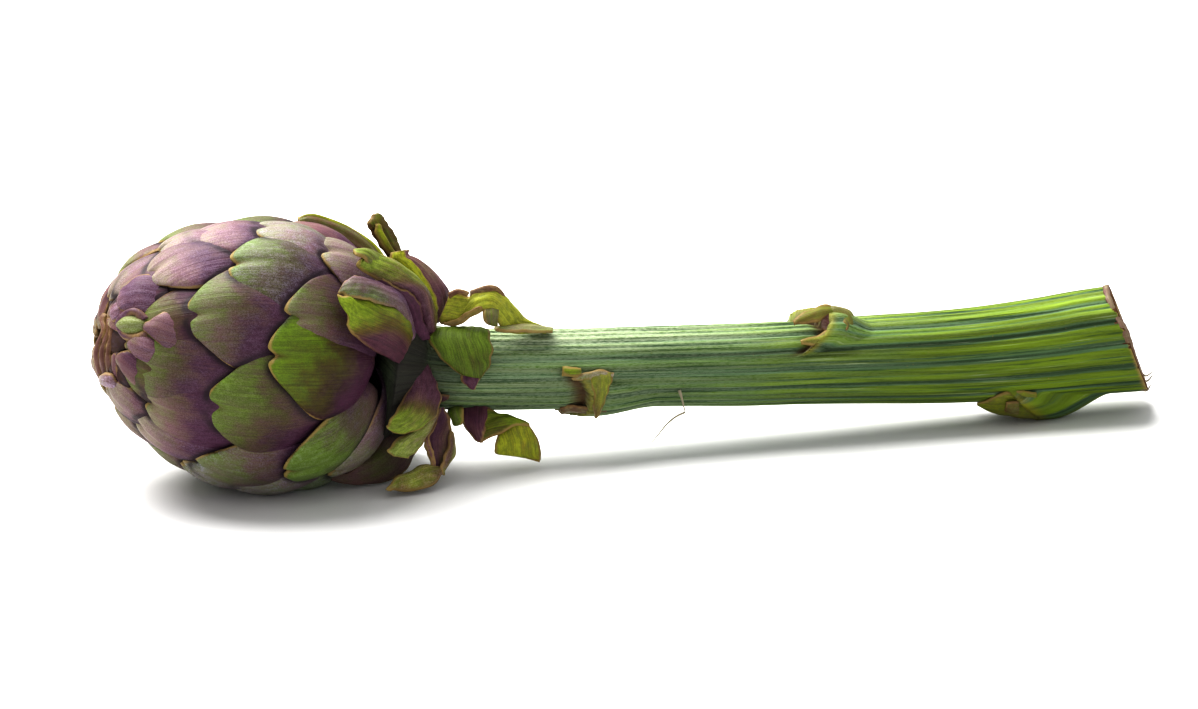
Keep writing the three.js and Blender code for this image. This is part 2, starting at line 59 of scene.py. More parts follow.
# ---- places and numbers that shape the plant -------------------------------
# Bracts that fell, or whose place a spread bract takes.
FALLEN = (44, 52, 57, 60)

# Bracts that settled away from the spiral, in degrees and millimetres:
# number: (round the head, from the apex, wider, roll, lift).
SETTLED = {
    2: (-3.8, -0.4, 0, 4, 0.2), 3: (-15.5, -1.6, 0, 0, 0.2), 5: (3.8, 4.2, -5, 8, 0.4),
    8: (1, -4.2, 0, -6, 0.2), 10: (13.8, -1.6, 2, 6, 0), 13: (-11.8, 1, 0, 10, 0.2),
    15: (4.1, 1.4, 0, 0, 0), 16: (-2.7, 7.4, 0, -4, 0.2), 18: (-4.2, -6, 8, 2, 0.5),
    21: (4.5, -7, 1, 12, 0.4), 23: (4.8, -8.4, 6, 11, 0), 26: (2.9, 0.3, 5, 2, 0.4),
    28: (-2, 4.2, 2, 0, 0), 31: (-7.2, 1.7, 2, 4, 0.5), 34: (4.8, 2.9, 4, -8, 0.5),
    36: (-14.2, -6, 0, 0, 0.2), 39: (-5.3, 6.8, 1, 4, 0.8), 42: (7.7, -0.1, 0, -6, 0.2),
    47: (-11.9, -2.5, -4, 0, 0), 49: (2.7, 1.4, -12, 14, 0.8),
}

# How single bracts look: green, purple, wax bloom, the side that is more purple
# (-1 lower, 1 upper), and how far they lean to that side in millimetres.
# On the front- and left-facing bracts, part of the purple is painted shade.
LOOKS = {
    0: (0.15, 1.50, 0.00, 0, 0), 2: (0.30, 0.75, 0.50, 0, 0), 3: (0.25, 0.70, 0.80, 0, 0),
    5: (0.75, 1.20, 0.12, 0, 0), 8: (0.25, 1.00, 0.40, 0, 0), 10: (0.90, 1.15, 0.05, 0, 0),
    13: (0.85, 1.15, 0.05, 0, 0), 15: (0.30, 1.05, 0.35, 0, 0), 16: (0.30, 0.95, 0.60, 0, 0),
    18: (0.90, 1.10, 0.20, -0.2, 0), 21: (0.30, 1.15, 0.45, 0.2, 0), 23: (0.55, 1.25, 0.15, 0.2, 0),
    26: (0.80, 1.15, 0.25, -0.3, 0), 28: (0.60, 0.75, 1.00, 0, 0), 29: (0.25, 1.25, 0.50, 0, 0),
    31: (1.00, 0.93, 0.14, -0.35, 0), 34: (1.05, 1.30, 0.52, -0.4, 0), 36: (0.75, 0.95, 0.35, 0, 0),
    39: (1.20, 1.00, 0.00, -0.3, -0.7), 41: (0.50, 0.75, 1.00, 0, 0), 42: (0.55, 0.90, 0.75, 0, 0),
    47: (0.70, 1.45, 0.20, 0, 0.8), 49: (1.50, 0.50, 0.30, 0.6, 0), 50: (0.30, 1.80, 0.00, 0, 0),
    54: (1.30, 0.20, 1.00, 0, 0), 55: (0.40, 1.30, 0.45, 0, 0), 62: (0.50, 1.00, 0.55, 0, 0),
}

# Where the head is less full than an egg: the way out to that side, how deep it is
# pressed in there in millimetres, and how sharply that fades. It lies on the first.
PRESSED = (((0, 0, -1), 1.1, 6), ((-0.75, 0.03, -0.66), 4.4, 8), ((-0.05, 0.24, 0.97), 1.8, 14))

# The stalk's axis in millimetres, in the plane y = 0: (x, z, radius).
STALK = np.array([
    (46.8, 31.0, 12.1), (60, 29.1, 11.8), (89, 27.0, 11.8), (108, 25.9, 11.9),
    (127, 24.9, 11.9), (146, 23.9, 12.1), (165, 23.2, 12.4), (187, 22.2, 13.1),
    (205, 21.4, 13.7), (222, 21.2, 14.4), (240, 21.6, 15.2), (257, 22.3, 15.8), (272.6, 22.7, 16.2),
])
CUT_LEAN = 0.408                # the cut face leans back: mm along the stalk per mm of height,
CUT_SKEW = 0.36                 # and per mm from its near side to its far side
RIB_TWIST = 0.05                # degrees per millimetre
# The neck under the head, which flares into the head's heart: (from its middle, radius).
NECK = np.array([(47.3, 12.2), (46.2, 13.1), (44.5, 15.5), (40, 20), (34, 25)])

# Scars of shed leaves: the open face's x, its side (0 front, 90 up), how far it clasps
# round in degrees, its height, its slope and its two lips in millimetres.
SCARS = (
    {"x": 96, "side": -48, "clasp": 60, "rise": 2.7, "run": 22, "lips": (10, 6)},
    {"x": 170, "side": 66, "clasp": 44, "rise": 5.2, "run": 15, "lips": (10, 9)},
    {"x": 240, "side": -84, "clasp": 48, "rise": 6.8, "run": 22, "lips": (19, 12)},
)

# The camera: where it stands in metres, how it is turned, its lens and the frame that it sees.
CAMERA_PLACE = (-0.1936, -1.0080, 0.3118)
CAMERA_AZIMUTH = math.radians(-16.317)
CAMERA_ELEVATION = math.radians(15.0)
CAMERA_LENS = 110.0
CAMERA_SENSOR = 36.0
FRAME_WIDTH, FRAME_HEIGHT = 1198, 709
CAMERA_BACK = np.array([math.sin(CAMERA_AZIMUTH) * math.cos(CAMERA_ELEVATION),
                        -math.cos(CAMERA_AZIMUTH) * math.cos(CAMERA_ELEVATION),
                        math.sin(CAMERA_ELEVATION)])
CAMERA_RIGHT = np.array([math.cos(CAMERA_AZIMUTH), math.sin(CAMERA_AZIMUTH), 0.0])
CAMERA_UP = np.cross(CAMERA_BACK, CAMERA_RIGHT)

# Close views of that frame, in its pixels: where each starts, left and top, and how much it
# enlarges. Leaves and shreds are laid where they are seen in one of these.
LEAF_VIEW = (335, 205, 4.09)
UNDER_VIEW = (375, 350, 5.14)
APEX_VIEW = (92, 255, 9)
SCAR_VIEW = (480, 300, 4.41)
END_VIEW = (780, 270, 3.84)

# Spread bracts and stalk leaves. Each has one or more blades: the view that it is seen in, how
# its outer and its inner face look, and rows from its root to its tip: the left edge's x and y in
# the view and its depth in millimetres, the same for the right edge, and how far it bulges
# between them. Without a view, a row gives each edge's x, y and z in millimetres. A look is:
# green, purple at the root and at the tip, the side that is more purple (-1 left, 1 right), wax
# bloom, dryness and glow, which above 0 is painted light through a thin leaf and below 0 painted
# shade.
BLADES = {
    "bract_open_back": (
        (LEAF_VIEW, (0.8, 0.5, 0.3, 0, 0, 0.45, 0), (0.4, 1, 0.5, 0, 0.4, 0, 0), (
            (198, 232, 13, 170, 262, 6, 0.5), (140, 166, 15, 98, 200, 9, 1.2),
            (60, 108, 16.5, 20, 150, 11, 1.5), (-10, 76, 17, -50, 118, 12, 1.5),
            (-92, 52, 17, -105, 92, 13, 1), (-150, 62, 16, -150, 76, 14, 0.3))),
        (LEAF_VIEW, (1.1, 0.1, 0.1, 0, 0, 0.25, 0.55), (0.9, 0.3, 0.2, 0, 0.1, 0.1, 0), (
            (200, 226, 14, 190, 236, 11, 0.4), (146, 158, 16, 132, 172, 13, 0.8),
            (62, 100, 17.5, 50, 116, 14.5, 0.8), (-10, 70, 18, -18, 84, 15, 0.8),
            (-92, 45, 17.5, -100, 60, 15, 0.8), (-152, 58, 16.5, -152, 66, 15, 0.2))),
    ),
    "bract_rolled_tip": (
        (LEAF_VIEW, (1.2, 0.35, 0.3, 0, 0, 0.62, 0.1), (0.8, 0.5, 0.5, 0, 0, 0.5, 0), (
            (352, 490, 0, 385, 490, 2, 0.6), (300, 380, 2, 350, 360, 4, 1),
            (215, 215, 3, 268, 185, 5, 1.5), (180, 165, 4, 252, 145, 6, 1.8),
            (150, 112, 5, 228, 100, 7, 1.8), (136, 84, 5, 203, 66, 7, 1.6),
            (148, 46, 6, 190, 46, 7, 1.2), (154, 38, 6.5, 184, 40, 7, 0.6))),
        (LEAF_VIEW, (1.3, 0.1, 0.1, 0, 0, 0.2, 0.5), (1, 0.3, 0.3, 0, 0, 0.3, 0.2), (
            (216, 204, 1.6, 242, 196, 2.6, 0.6), (186, 156, 2.4, 214, 148, 3.2, 0.8),
            (162, 108, 3.2, 186, 100, 4, 0.8), (158, 78, 3.6, 180, 74, 4.2, 0.5))),
    ),
    "bract_upright": (
        (LEAF_VIEW, (0.5, 0.9, 0.6, 0.5, 0.1, 0, 0.12), (0.8, 0.8, 0.6, 0, 0.1, 0.1, 0), (
            (396, 480, -3, 420, 475, -1, 0.5), (372, 430, -4, 460, 418, -1, 1.5),
            (352, 366, -5, 465, 374, -1, 2), (306, 304, -6, 426, 308, -1, 2.2),
            (260, 252, -6, 352, 236, -1, 1.8), (222, 224, -6, 305, 206, -2, 1.2),
            (230, 194, -5, 302, 182, -2, 0.6))),
        (LEAF_VIEW, (1.1, 0.05, 0.05, 0.4, 0, 0.1, 0.8), (0.8, 0.8, 0.6, 0, 0.1, 0.1, 0), (
            (388, 472, -3.8, 408, 470, -3.4, 0.3), (370, 430, -4.7, 424, 426, -4.9, 0.5),
            (348, 366, -5.7, 412, 370, -5.7, 0.8), (302, 304, -6.7, 376, 302, -6.1, 0.9),
            (258, 252, -6.7, 330, 240, -5.5, 0.9), (220, 226, -6.5, 290, 211, -5.2, 0.7),
            (228, 194, -5.6, 284, 184, -4.6, 0.5))),
    ),
    "bract_arching": (
        (LEAF_VIEW, (1.5, 1.0, 0, 0.8, 0.2, 0, 0.3), (0.9, 0.7, 0.3, 0, 0.1, 0, 0), (
            (414, 495, -9, 384, 545, -10, 0.5), (404, 432, -10, 352, 446, -14, 1.2),
            (372, 350, -12, 318, 372, -18, 1.8), (330, 298, -14, 258, 340, -22, 2),
            (270, 243, -17, 198, 316, -25, 2), (205, 208, -20, 124, 283, -27, 1.8),
            (132, 184, -22, 96, 252, -28, 1.2), (120, 184, -23, 101, 226, -28, 0.6))),
        (LEAF_VIEW, (1.3, 0.3, 0.1, 0.2, 0.2, 0.1, 0.2), (0.9, 0.3, 0.1, 0, 0.1, 0, 0), (
            (205, 208, -20, 124, 262, -26, 1), (140, 185, -22, 116, 222, -27, 0.8),
            (100, 184, -23, 86, 204, -27, 0.5), (74, 186, -24, 74, 194, -26, 0.1))),
        # This blade, a dark purple inner fold, is partly its own purple and partly painted shade.
        (LEAF_VIEW, (0.2, 1.6, 1.4, 0, 0.05, 0.1, 0), (0.2, 1.4, 1.4, 0, 0, 0.1, 0), (
            (388, 548, -12, 322, 548, -12, 0.2), (352, 440, -15, 292, 452, -17, 0.5),
            (318, 368, -19, 258, 392, -21, 0.5), (250, 334, -23, 196, 346, -24, 0.5),
            (190, 296, -25, 120, 318, -26, 0.2))),
    ),
    "bract_folded": (
        (LEAF_VIEW, (0.9, 1.15, 0.7, -0.6, 0.4, 0, 0), (0.9, 0.8, 0.3, 0, 0.1, 0, 0), (
            (322, 520, -17, 304, 560, -19, 0.4), (303, 440, -19, 284, 480, -24, 1),
            (262, 368, -22, 248, 424, -31, 1.4), (200, 328, -25, 176, 402, -36, 1.6),
            (140, 300, -28, 108, 386, -38, 1.4), (88, 288, -31, 48, 372, -38, 1),
            (36, 316, -34, 10, 360, -37, 0.4))),
        (LEAF_VIEW, (1.5, 0.95, -0.2, 1, 0.05, 0, 0.25), (0.9, 0.8, 0.3, 0, 0.1, 0, 0), (
            (322, 480, -17, 262, 650, -25, 0.6), (306, 450, -20, 215, 625, -30, 1.6),
            (262, 408, -26, 150, 592, -35, 2.2), (180, 390, -33, 88, 548, -38, 2.2),
            (92, 374, -37, 50, 500, -39, 1.6), (34, 368, -38, 52, 456, -39, 0.8),
            (8, 368, -37, 22, 404, -38, 0.3))),
    ),
    "bract_hanging_front": (
        (UNDER_VIEW, (1.35, 1.6, -0.1, 0, 0.15, 0, 0.25), (0.9, 0.6, 0.1, 0, 0.1, 0, 0.4), (
            (226, 26, -11, 238, 30, -11, 0.1), (205, 120, -16, 290, 130, -14, 0.8),
            (160, 222, -21, 328, 224, -17, 1.5), (108, 308, -26, 314, 338, -21, 1.6),
            (70, 370, -28, 205, 420, -26, 1.2), (60, 402, -29, 95, 428, -28, 0.3))),
        (UNDER_VIEW, (1.2, 0.65, 0.1, 0.4, 0.4, 0, 0.35), (0.9, 0.6, 0.1, 0, 0.1, 0, 0.4), (
            (262, 200, -17, 328, 214, -15, 0.4), (235, 330, -21, 330, 306, -18, 1),
            (180, 418, -24, 294, 404, -21, 1.2), (105, 465, -26, 240, 482, -23, 1.2),
            (66, 512, -27, 208, 532, -25, 0.8), (84, 545, -27, 165, 557, -26, 0.2))),
    ),
    "bract_hanging_low": (
        (UNDER_VIEW, (0.7, 1.4, 1, -0.6, 0.15, 0.1, 0.1), (0.9, 0.9, 0.3, 0, 0, 0, 0.4), (
            (330, 300, -9, 350, 298, -8, 0.1), (308, 362, -12, 388, 362, -10, -1.2),
            (256, 450, -18, 396, 442, -13, -2), (272, 530, -20, 374, 530, -16, -1.4),
            (298, 604, -21, 342, 612, -19, -0.3))),
        (UNDER_VIEW, (0, 0.95, 0.85, -0.3, 0, 0, 0), (0, 0.9, 0.8, 0, 0, 0, 0), (
            (300, 374, -11.6, 316, 374, -12, 0.2), (254, 450, -18.2, 280, 450, -18.4, 0.3),
            (260, 498, -19.4, 284, 498, -19.4, 0.3), (272, 544, -20.4, 292, 542, -20.2, 0.3),
            (298, 606, -21.2, 312, 606, -21, 0.2))),
        (UNDER_VIEW, (1, 0.7, 0.5, -0.6, 0.35, 0, 0.4), (0.9, 0.9, 0.3, 0, 0, 0, 0.4), (
            (384, 420, -12, 398, 428, -12, 0.1), (370, 498, -17, 413, 500, -15, 0.6),
            (348, 562, -20, 394, 572, -18, 0.8), (333, 606, -22, 358, 616, -20, 0.5),
            (340, 640, -22, 350, 644, -21, 0.1))),
        (UNDER_VIEW, (1.25, 0.45, 0.3, 0.5, 0.35, 0, 0.5), (0.9, 0.9, 0.3, 0, 0, 0, 0.4), (
            (345, 600, -20, 348, 640, -22, 0.2), (240, 588, -21, 300, 692, -25, 1.2),
            (170, 620, -23, 220, 722, -27, 1.4), (110, 660, -25, 140, 730, -28, 1),
            (74, 698, -27, 90, 727, -28, 0.4), (52, 714, -28, 56, 720, -28, 0.1))),
    ),
    "bract_spread_back": (
        (None, (1, 1.1, 0.3, 0, 0.4, 0, 0), (0.8, 0.6, 0.2, 0, 0.1, 0, 0), (
            (42, 8, 35, 40, 11, 27, 0.8), (43, 16, 41, 41, 21, 29, 1.7),
            (38, 23, 48, 36, 31, 30, 2.7), (32, 29, 52, 28, 36, 33, 3.2),
            (24, 34, 54, 20, 39, 37, 2.6), (15, 38, 51, 14, 39, 45, 0.7))),
    ),
    "bract_hanging_back": (
        (None, (0.8, 1.2, 0.4, 0, 0.3, 0, 0), (0.8, 0.6, 0.2, 0, 0.1, 0, 0), (
            (42, 11, 27, 45, 7, 23, 0.5), (44, 18, 23, 50, 11, 17, 1.2),
            (44, 24, 21, 49, 17, 11, 1.8), (41, 28, 17, 44, 22, 6, 1.7),
            (37, 30, 11, 38, 27, 7, 0.5))),
    ),
    "stalk_leaf_twisted": (
        (LEAF_VIEW, (1.2, 0.1, 0.1, 0, 0.1, 0.2, 0.75), (1.2, 0.1, 0.05, 0, 0.1, 0.1, 0.6), (
            (880, 508, -2, 860, 524, -5, 0.3), (800, 476, -1, 720, 522, -6, 0.8),
            (745, 430, -2, 678, 500, -7, 1), (692, 378, -3, 640, 446, -8, 1.1),
            (645, 346, -4, 606, 430, -9, 1.1), (580, 348, -5, 556, 456, -9, 0.9),
            (544, 376, -6, 500, 488, -8, 0.9), (492, 356, -6, 442, 486, -7, 0.6),
            (464, 374, -6, 424, 472, -7, 0.2))),
        (LEAF_VIEW, (1, 0.1, 0.2, 0, 0, 0.15, 0), (1, 0.1, 0.2, 0, 0, 0.1, 0), (
            (602, 428, -9, 668, 430, -7, 0.5), (604, 452, -10.5, 668, 462, -9, 0.9),
            (612, 476, -10.5, 667, 486, -9, 0.7), (628, 490, -10, 660, 495, -9, 0.2))),
        (LEAF_VIEW, (0.9, 0.1, 0, 0, 0.3, 0.08, 0.15), (0.5, 0.1, 0.1, 0, 0.5, 0.3, 0), (
            (890, 506, -3, 890, 520, -7, 0.4), (820, 496, -4, 800, 524, -9, 0.5),
            (740, 494, -5, 740, 524, -9.5, 0.5), (680, 498, -6, 690, 520, -9, 0.4),
            (650, 500, -7, 655, 510, -8, 0.1))),
        (LEAF_VIEW, (0.4, 0.4, 0.3, 0, 0, 0.75, 0), (0.4, 0.4, 0.3, 0, 0, 0.6, 0), (
            (552, 374, -6.2, 552, 350, -5.2, 0.2), (586, 366, -6, 582, 338, -5, 0.5),
            (626, 360, -5.8, 622, 332, -4.8, 0.5), (660, 356, -5, 664, 344, -4, 0.3),
            (690, 386, -4.2, 700, 378, -3.4, 0.1))),
        (LEAF_VIEW, (0.4, 0.4, 0.3, 0, 0, 0.8, 0), (0.4, 0.4, 0.3, 0, 0, 0.6, 0), (
            (466, 380, -7.4, 462, 364, -6.8, 0.2), (498, 368, -7.6, 496, 346, -6.8, 0.4),
            (536, 378, -7.4, 546, 362, -6.6, 0.2))),
        (LEAF_VIEW, (0.9, 0.2, 0.2, 0, 0, 0.4, 0.2), (0.9, 0.2, 0.2, 0, 0, 0.4, 0.2), (
            (446, 490, -8.2, 444, 474, -8.4, 0.2), (500, 486, -9, 494, 468, -9.2, 0.4),
            (552, 456, -9.8, 546, 438, -9.8, 0.4), (604, 430, -9.8, 600, 416, -9.8, 0.2))),
    ),
    # The flap's outer face is darkened with painted shade, by its glow below 0.
    "stalk_leaf_flap": (
        (LEAF_VIEW, (1.6, 0.1, 0.3, 0, 0.05, 0.1, -0.22), (0.8, 0.5, 0.6, 0, 0, 0, 0), (
            (415, 505, -9, 628, 510, -8, 0.8), (386, 545, -12, 636, 545, -12, 1.2),
            (410, 600, -15, 641, 600, -14.5, 1.4), (446, 640, -16, 636, 642, -15.5, 1.3),
            (480, 668, -16.5, 620, 690, -16, 1.1), (520, 697, -16.5, 594, 718, -16, 0.6))),
        (UNDER_VIEW, (0.3, 1.3, 1.4, 0, 0.1, 0.25, 0), (0.3, 1.3, 1.3, 0, 0.1, 0.2, 0), (
            (432, 132, -16.2, 548, 142, -16, 0.4), (440, 158, -16.8, 540, 160, -16.4, 0.6),
            (470, 180, -16.6, 520, 186, -16.2, 0.4), (496, 192, -16, 514, 192, -16, 0.1))),
    ),
    "stalk_leaf_spiral": (
        (UNDER_VIEW, (1, 0, 0, 0, 0, 0, 0), (1, 0, 0, 0, 0, 0, 0), (
            (425, 290, -4, 462, 292, -5, 0.3), (372, 318, -6, 448, 312, -8, 1),
            (382, 362, -8, 446, 356, -9, 1), (400, 388, -8, 440, 384, -9, 0.4))),
        (UNDER_VIEW, (0.6, 1.2, 1.1, 0, 0, 0.25, 0), (0.6, 1, 1, 0, 0, 0.2, 0), (
            (440, 290, -5, 592, 300, -7, 0.6), (444, 352, -8, 584, 360, -10, 1.2),
            (484, 424, -10, 566, 418, -12, 1), (536, 474, -12, 550, 476, -12.5, 0.2))),
        (UNDER_VIEW, (1.25, 0.3, 0.1, 0.5, 0, 0.1, 0.15), (0.8, 1, 0.2, 0, 0, 0.1, 0.2), (
            (576, 312, -8, 540, 476, -12, 0.6), (640, 318, -8, 625, 438, -13, 1.4),
            (706, 340, -9, 716, 398, -13, 1), (792, 384, -12, 794, 392, -13, 0.2))),
        (UNDER_VIEW, (1.2, 0.1, 0.1, 0, 0, 0.2, 0.65), (1.1, 0.3, 0.2, 0, 0, 0.1, 0.5), (
            (640, 402, -11, 786, 374, -12, 0.3), (618, 462, -13, 828, 444, -11, 1.6),
            (614, 500, -14, 839, 500, -11, 1.8), (628, 536, -13.5, 843, 546, -11.5, 1.2),
            (738, 546, -12.5, 838, 574, -12, 0.3))),
    ),
}

# The small bracts that stand at the apex, given like a blade's in the apex view: a look and its
# rows, with each edge's height off the head instead of its depth.
APEX = (
    ((0.5, 0.9, 0.6, 0.3, 0.25, 0.1, 0), (
        (900, 600, -3.5, 900, 905, -3.5, 0.6), (720, 515, 0, 740, 905, 0, 1.6),
        (610, 535, 1, 600, 800, 1, 1.6), (520, 600, 1.2, 500, 710, 1.2, 0.8),
        (492, 640, 1, 490, 672, 1, 0.2))),
    ((0.35, 1, 0.7, 0, 0.3, 0.1, 0), (
        (660, 800, -3, 660, 965, -3, 0.8), (540, 728, 0.3, 540, 1002, 0.3, 1.8),
        (440, 716, 1.2, 420, 935, 1.2, 1.8), (372, 744, 1.4, 362, 870, 1.4, 1),
        (342, 790, 1.2, 344, 824, 1.2, 0.3))),
    ((0.7, 0.2, 0.3, 0, 0.35, 0.05, 0.1), (
        (492, 575, -0.4, 492, 690, -0.4, 0.8), (430, 545, 0.8, 430, 722, 0.8, 2),
        (340, 538, 1.6, 330, 724, 1.6, 2), (272, 568, 1.8, 274, 706, 1.8, 1.2),
        (246, 612, 1.4, 250, 664, 1.4, 0.3))),
    ((0.4, 1, 0.7, -0.2, 0.2, 0.2, 0), (
        (600, 1010, -3, 560, 1330, -3, 0.6), (440, 900, 0, 430, 1230, 0, 1.2),
        (330, 848, 0.8, 320, 1110, 0.8, 1.4), (262, 872, 1.2, 262, 1010, 1.2, 1),
        (240, 910, 1, 240, 955, 1, 0.3))),
    ((0.2, 0.7, 0.3, 0, 0.9, 0, 0), (
        (240, 1150, -0.6, 236, 1200, -0.6, 0.4), (196, 1076, 0.6, 190, 1196, 0.6, 1.2),
        (130, 1062, 1.2, 128, 1176, 1.2, 1.2), (88, 1100, 1.2, 92, 1136, 1.2, 0.3))),
    ((0.2, 1, 0.8, 0, 0.5, 0.1, 0), (
        (290, 400, -0.4, 300, 560, -0.4, 0.6), (240, 430, 0.8, 262, 590, 0.8, 1),
        (196, 470, 1.2, 232, 604, 1.2, 0.8), (178, 500, 1, 206, 602, 1, 0.2))),
    ((0.2, 1.2, 0.9, 0, 0.4, 0.1, 0), (
        (640, 200, -1, 560, 560, -1, 0.6), (500, 180, 0.6, 440, 560, 0.4, 1.6),
        (380, 230, 1.2, 340, 540, 1, 1.6), (290, 310, 1.2, 270, 500, 1.1, 1),
        (255, 380, 0.9, 250, 450, 0.9, 0.3))),
    ((0.2, 1.2, 1, 0, 0.3, 0.25, 0), (
        (515, 575, 0.4, 460, 600, 0.8, 0.4), (390, 510, 1.4, 388, 552, 2, 0.9),
        (265, 562, 1.8, 308, 588, 2.4, 0.9), (236, 640, 1.8, 282, 640, 2.4, 0.9),
        (298, 740, 1.8, 325, 700, 2.2, 0.9), (440, 762, 1.2, 428, 716, 1.8, 0.8),
        (525, 700, 0.4, 480, 680, 0.8, 0.4))),
    ((0.3, 0.9, 0.7, 0.4, 0, 0.5, 0.25), (
        (70, 1060, 0.2, 110, 1060, -0.4, 0.3), (44, 960, 0.4, 92, 960, 0, 0.5),
        (38, 870, 0.6, 86, 870, 0.2, 0.6), (58, 780, 0.6, 104, 790, 0.2, 0.5),
        (104, 690, 0.5, 140, 700, 0.1, 0.5), (90, 600, 0.5, 134, 600, 0, 0.5),
        (104, 530, 0.4, 140, 535, 0, 0.3))),
    ((0.3, 1, 0.7, 0.4, 0.1, 0.7, 0.15), (
        (100, 1080, -0.2, 150, 1080, -0.6, 0.3), (88, 960, 0.1, 140, 960, -0.3, 0.6),
        (84, 860, 0.3, 140, 860, -0.1, 0.6), (108, 770, 0.3, 158, 770, -0.1, 0.5),
        (140, 670, 0.2, 176, 680, -0.2, 0.4), (128, 560, 0.2, 180, 560, -0.2, 0.3))),
    ((0.3, 1, 0.7, 0.4, 0.1, 0.7, 0.15), (
        (150, 1100, -0.6, 205, 1080, -1, 0.3), (138, 960, -0.2, 196, 950, -0.8, 0.5),
        (140, 860, -0.1, 190, 860, -0.8, 0.5), (156, 770, -0.1, 206, 770, -0.8, 0.5),
        (176, 680, -0.2, 214, 690, -0.8, 0.4), (180, 590, -0.2, 214, 600, -0.8, 0.3))),
    ((0.3, 0.9, 0.7, 0.4, 0.2, 0.3, 0), (
        (190, 1060, -1, 330, 1240, -0.6, 0.3), (192, 960, -0.6, 262, 1100, -0.4, 0.6),
        (196, 900, -0.4, 250, 1000, -0.4, 0.6), (212, 872, -0.6, 246, 900, -0.6, 0.3))),
)

# Torn skin left where leaves were shed, and the dried lip of the cut: the view, a look and rows.
TORN = (
    (SCAR_VIEW, (1, 0, 0.15, 0, 0.1, 0.3, 0.35), (
        (468, 322, -12.2, 588, 322, -12.2, 0.3), (484, 360, -13.2, 580, 362, -13.4, 0.6),
        (500, 412, -13.4, 563, 414, -13.6, 0.6), (497, 462, -12.4, 552, 464, -12.6, 0.6),
        (503, 512, -9.5, 514, 520, -9.5, 0.2))),
    (SCAR_VIEW, (0.9, 0, 0.1, 0, 0.6, 0.1, 0.2), (
        (590, 318, -12, 580, 350, -12.6, 0.5), (520, 309, -12, 500, 345, -12.8, 0.7),
        (460, 320, -12.2, 470, 352, -12.6, 0.5), (404, 348, -12.2, 410, 354, -12.2, 0.1))),
    (SCAR_VIEW, (0.4, 0.3, 0.3, 0, 0, 0.7, 0), (
        (560, 470, -10, 555, 492, -7, 0.4), (490, 470, -9, 490, 500, -5.5, 0.6),
        (420, 462, -8, 420, 490, -5, 0.5), (370, 466, -7, 360, 504, -5, 0.3),
        (352, 476, -6.5, 354, 492, -6, 0.1))),
    (SCAR_VIEW, (1.4, 0, 0, 0, 0, 0.1, 0.1), (
        (440, 300, -12, 440, 330, -12.6, 0.8), (400, 296, -12.4, 400, 332, -12.8, 1.4),
        (362, 300, -12.2, 360, 326, -12.6, 0.6))),
    (END_VIEW, (1, 0.1, 0.3, 0.3, 0.1, 0.45, 0.3), (
        (222, 146, -4, 232, 176, -6, 0.4), (160, 140, -4, 168, 186, -7, 0.8),
        (104, 156, -5, 112, 206, -8, 0.7), (48, 196, -7, 56, 210, -8, 0.2))),
    (END_VIEW, (1, 0.1, 0.2, 0, 0.2, 0.3, 0.4), (
        (262, 214, -9, 250, 262, -10, 0.4), (200, 226, -10, 216, 272, -11, 0.9),
        (136, 252, -11, 150, 288, -12, 0.7), (78, 272, -11.5, 82, 286, -12, 0.2))),
    (END_VIEW, (0.9, 0.1, 0.2, 0, 0.15, 0.35, 0.25), (
        (150, 150, -3, 168, 190, -5, 0.4), (208, 138, -3, 200, 178, -6, 1.2),
        (262, 156, -3.5, 232, 196, -8, 1.4), (286, 196, -5, 244, 214, -10, 1),
        (282, 236, -8, 250, 232, -11, 0.3))),
    (END_VIEW, (0.2, 0.6, 0.5, 0, 0.3, 0.8, 0), (
        (156, 168, -6, 160, 232, -9, 0.2), (190, 172, -6.5, 196, 236, -10, -0.5),
        (226, 188, -8, 226, 232, -10.5, 0.2))),
    (END_VIEW, (1.1, 0.05, 0, 0.3, 0, 0.25, 0.3), (
        (985, 470, -12, 990, 572, -5, 0.6), (930, 462, -12.5, 930, 572, -5, 1.4),
        (868, 472, -12, 872, 560, -5, 1.2), (812, 496, -10, 812, 546, -5, 0.6),
        (756, 510, -7, 758, 520, -5.5, 0.1))),
    (END_VIEW, (0.8, 0.1, 0.1, 0, 0, 0.6, 0.1), (
        (915, 500, -12.4, 915, 552, -9.5, 0.5), (888, 500, -12.6, 886, 550, -9.6, 0.9),
        (868, 508, -12.2, 862, 540, -9.6, 0.3))),
    (END_VIEW, (0.1, 0.2, 0.3, 0, 0.3, 0.6, 0.1), (
        (1240, 66, 0, 1266, 62, 0, 0.2), (1252, 120, -7, 1278, 118, -7, 0.4),
        (1288, 190, -12, 1304, 186, -11.5, 0.3), (1318, 250, -14.8, 1336, 244, -14, 0.5),
        (1348, 322, -14.6, 1362, 316, -14, 0.3), (1366, 392, -10.5, 1390, 386, -9.5, 0.5),
        (1382, 450, -3, 1402, 452, -2, 0.2))),
    # This shred under the head is darkened with painted shade, by its glow below 0.
    (UNDER_VIEW, (0.1, 1.3, 1.2, 0, 0, 0.4, -0.3), (
        (326, 226, -11.8, 322, 262, -10, 0.4), (352, 224, -12, 350, 260, -10.6, 0.4),
        (382, 230, -11.8, 378, 244, -11, 0.2))),
)

# A broad bract that stands off low at the head's base: the view, its look, whose glow below 0 is
# painted shade over it, and its rows.
LOW_BRACT = (UNDER_VIEW, (0.6, 0.7, 0.4, 0, 0.1, 0.12, -0.3), (
    (-262, 610, -13, -250, 652, -14, 0.3), (-170, 640, -16, -150, 684, -16, 0.6),
    (-90, 590, -15, -31, 690, -15.5, 1), (-10, 520, -13, 88, 659, -13.5, 1.6),
    (30, 460, -10, 184, 581, -10, 1.8), (60, 430, -8, 221, 517, -8, 1.4),
    (130, 420, -7, 212, 468, -7, 0.5)))

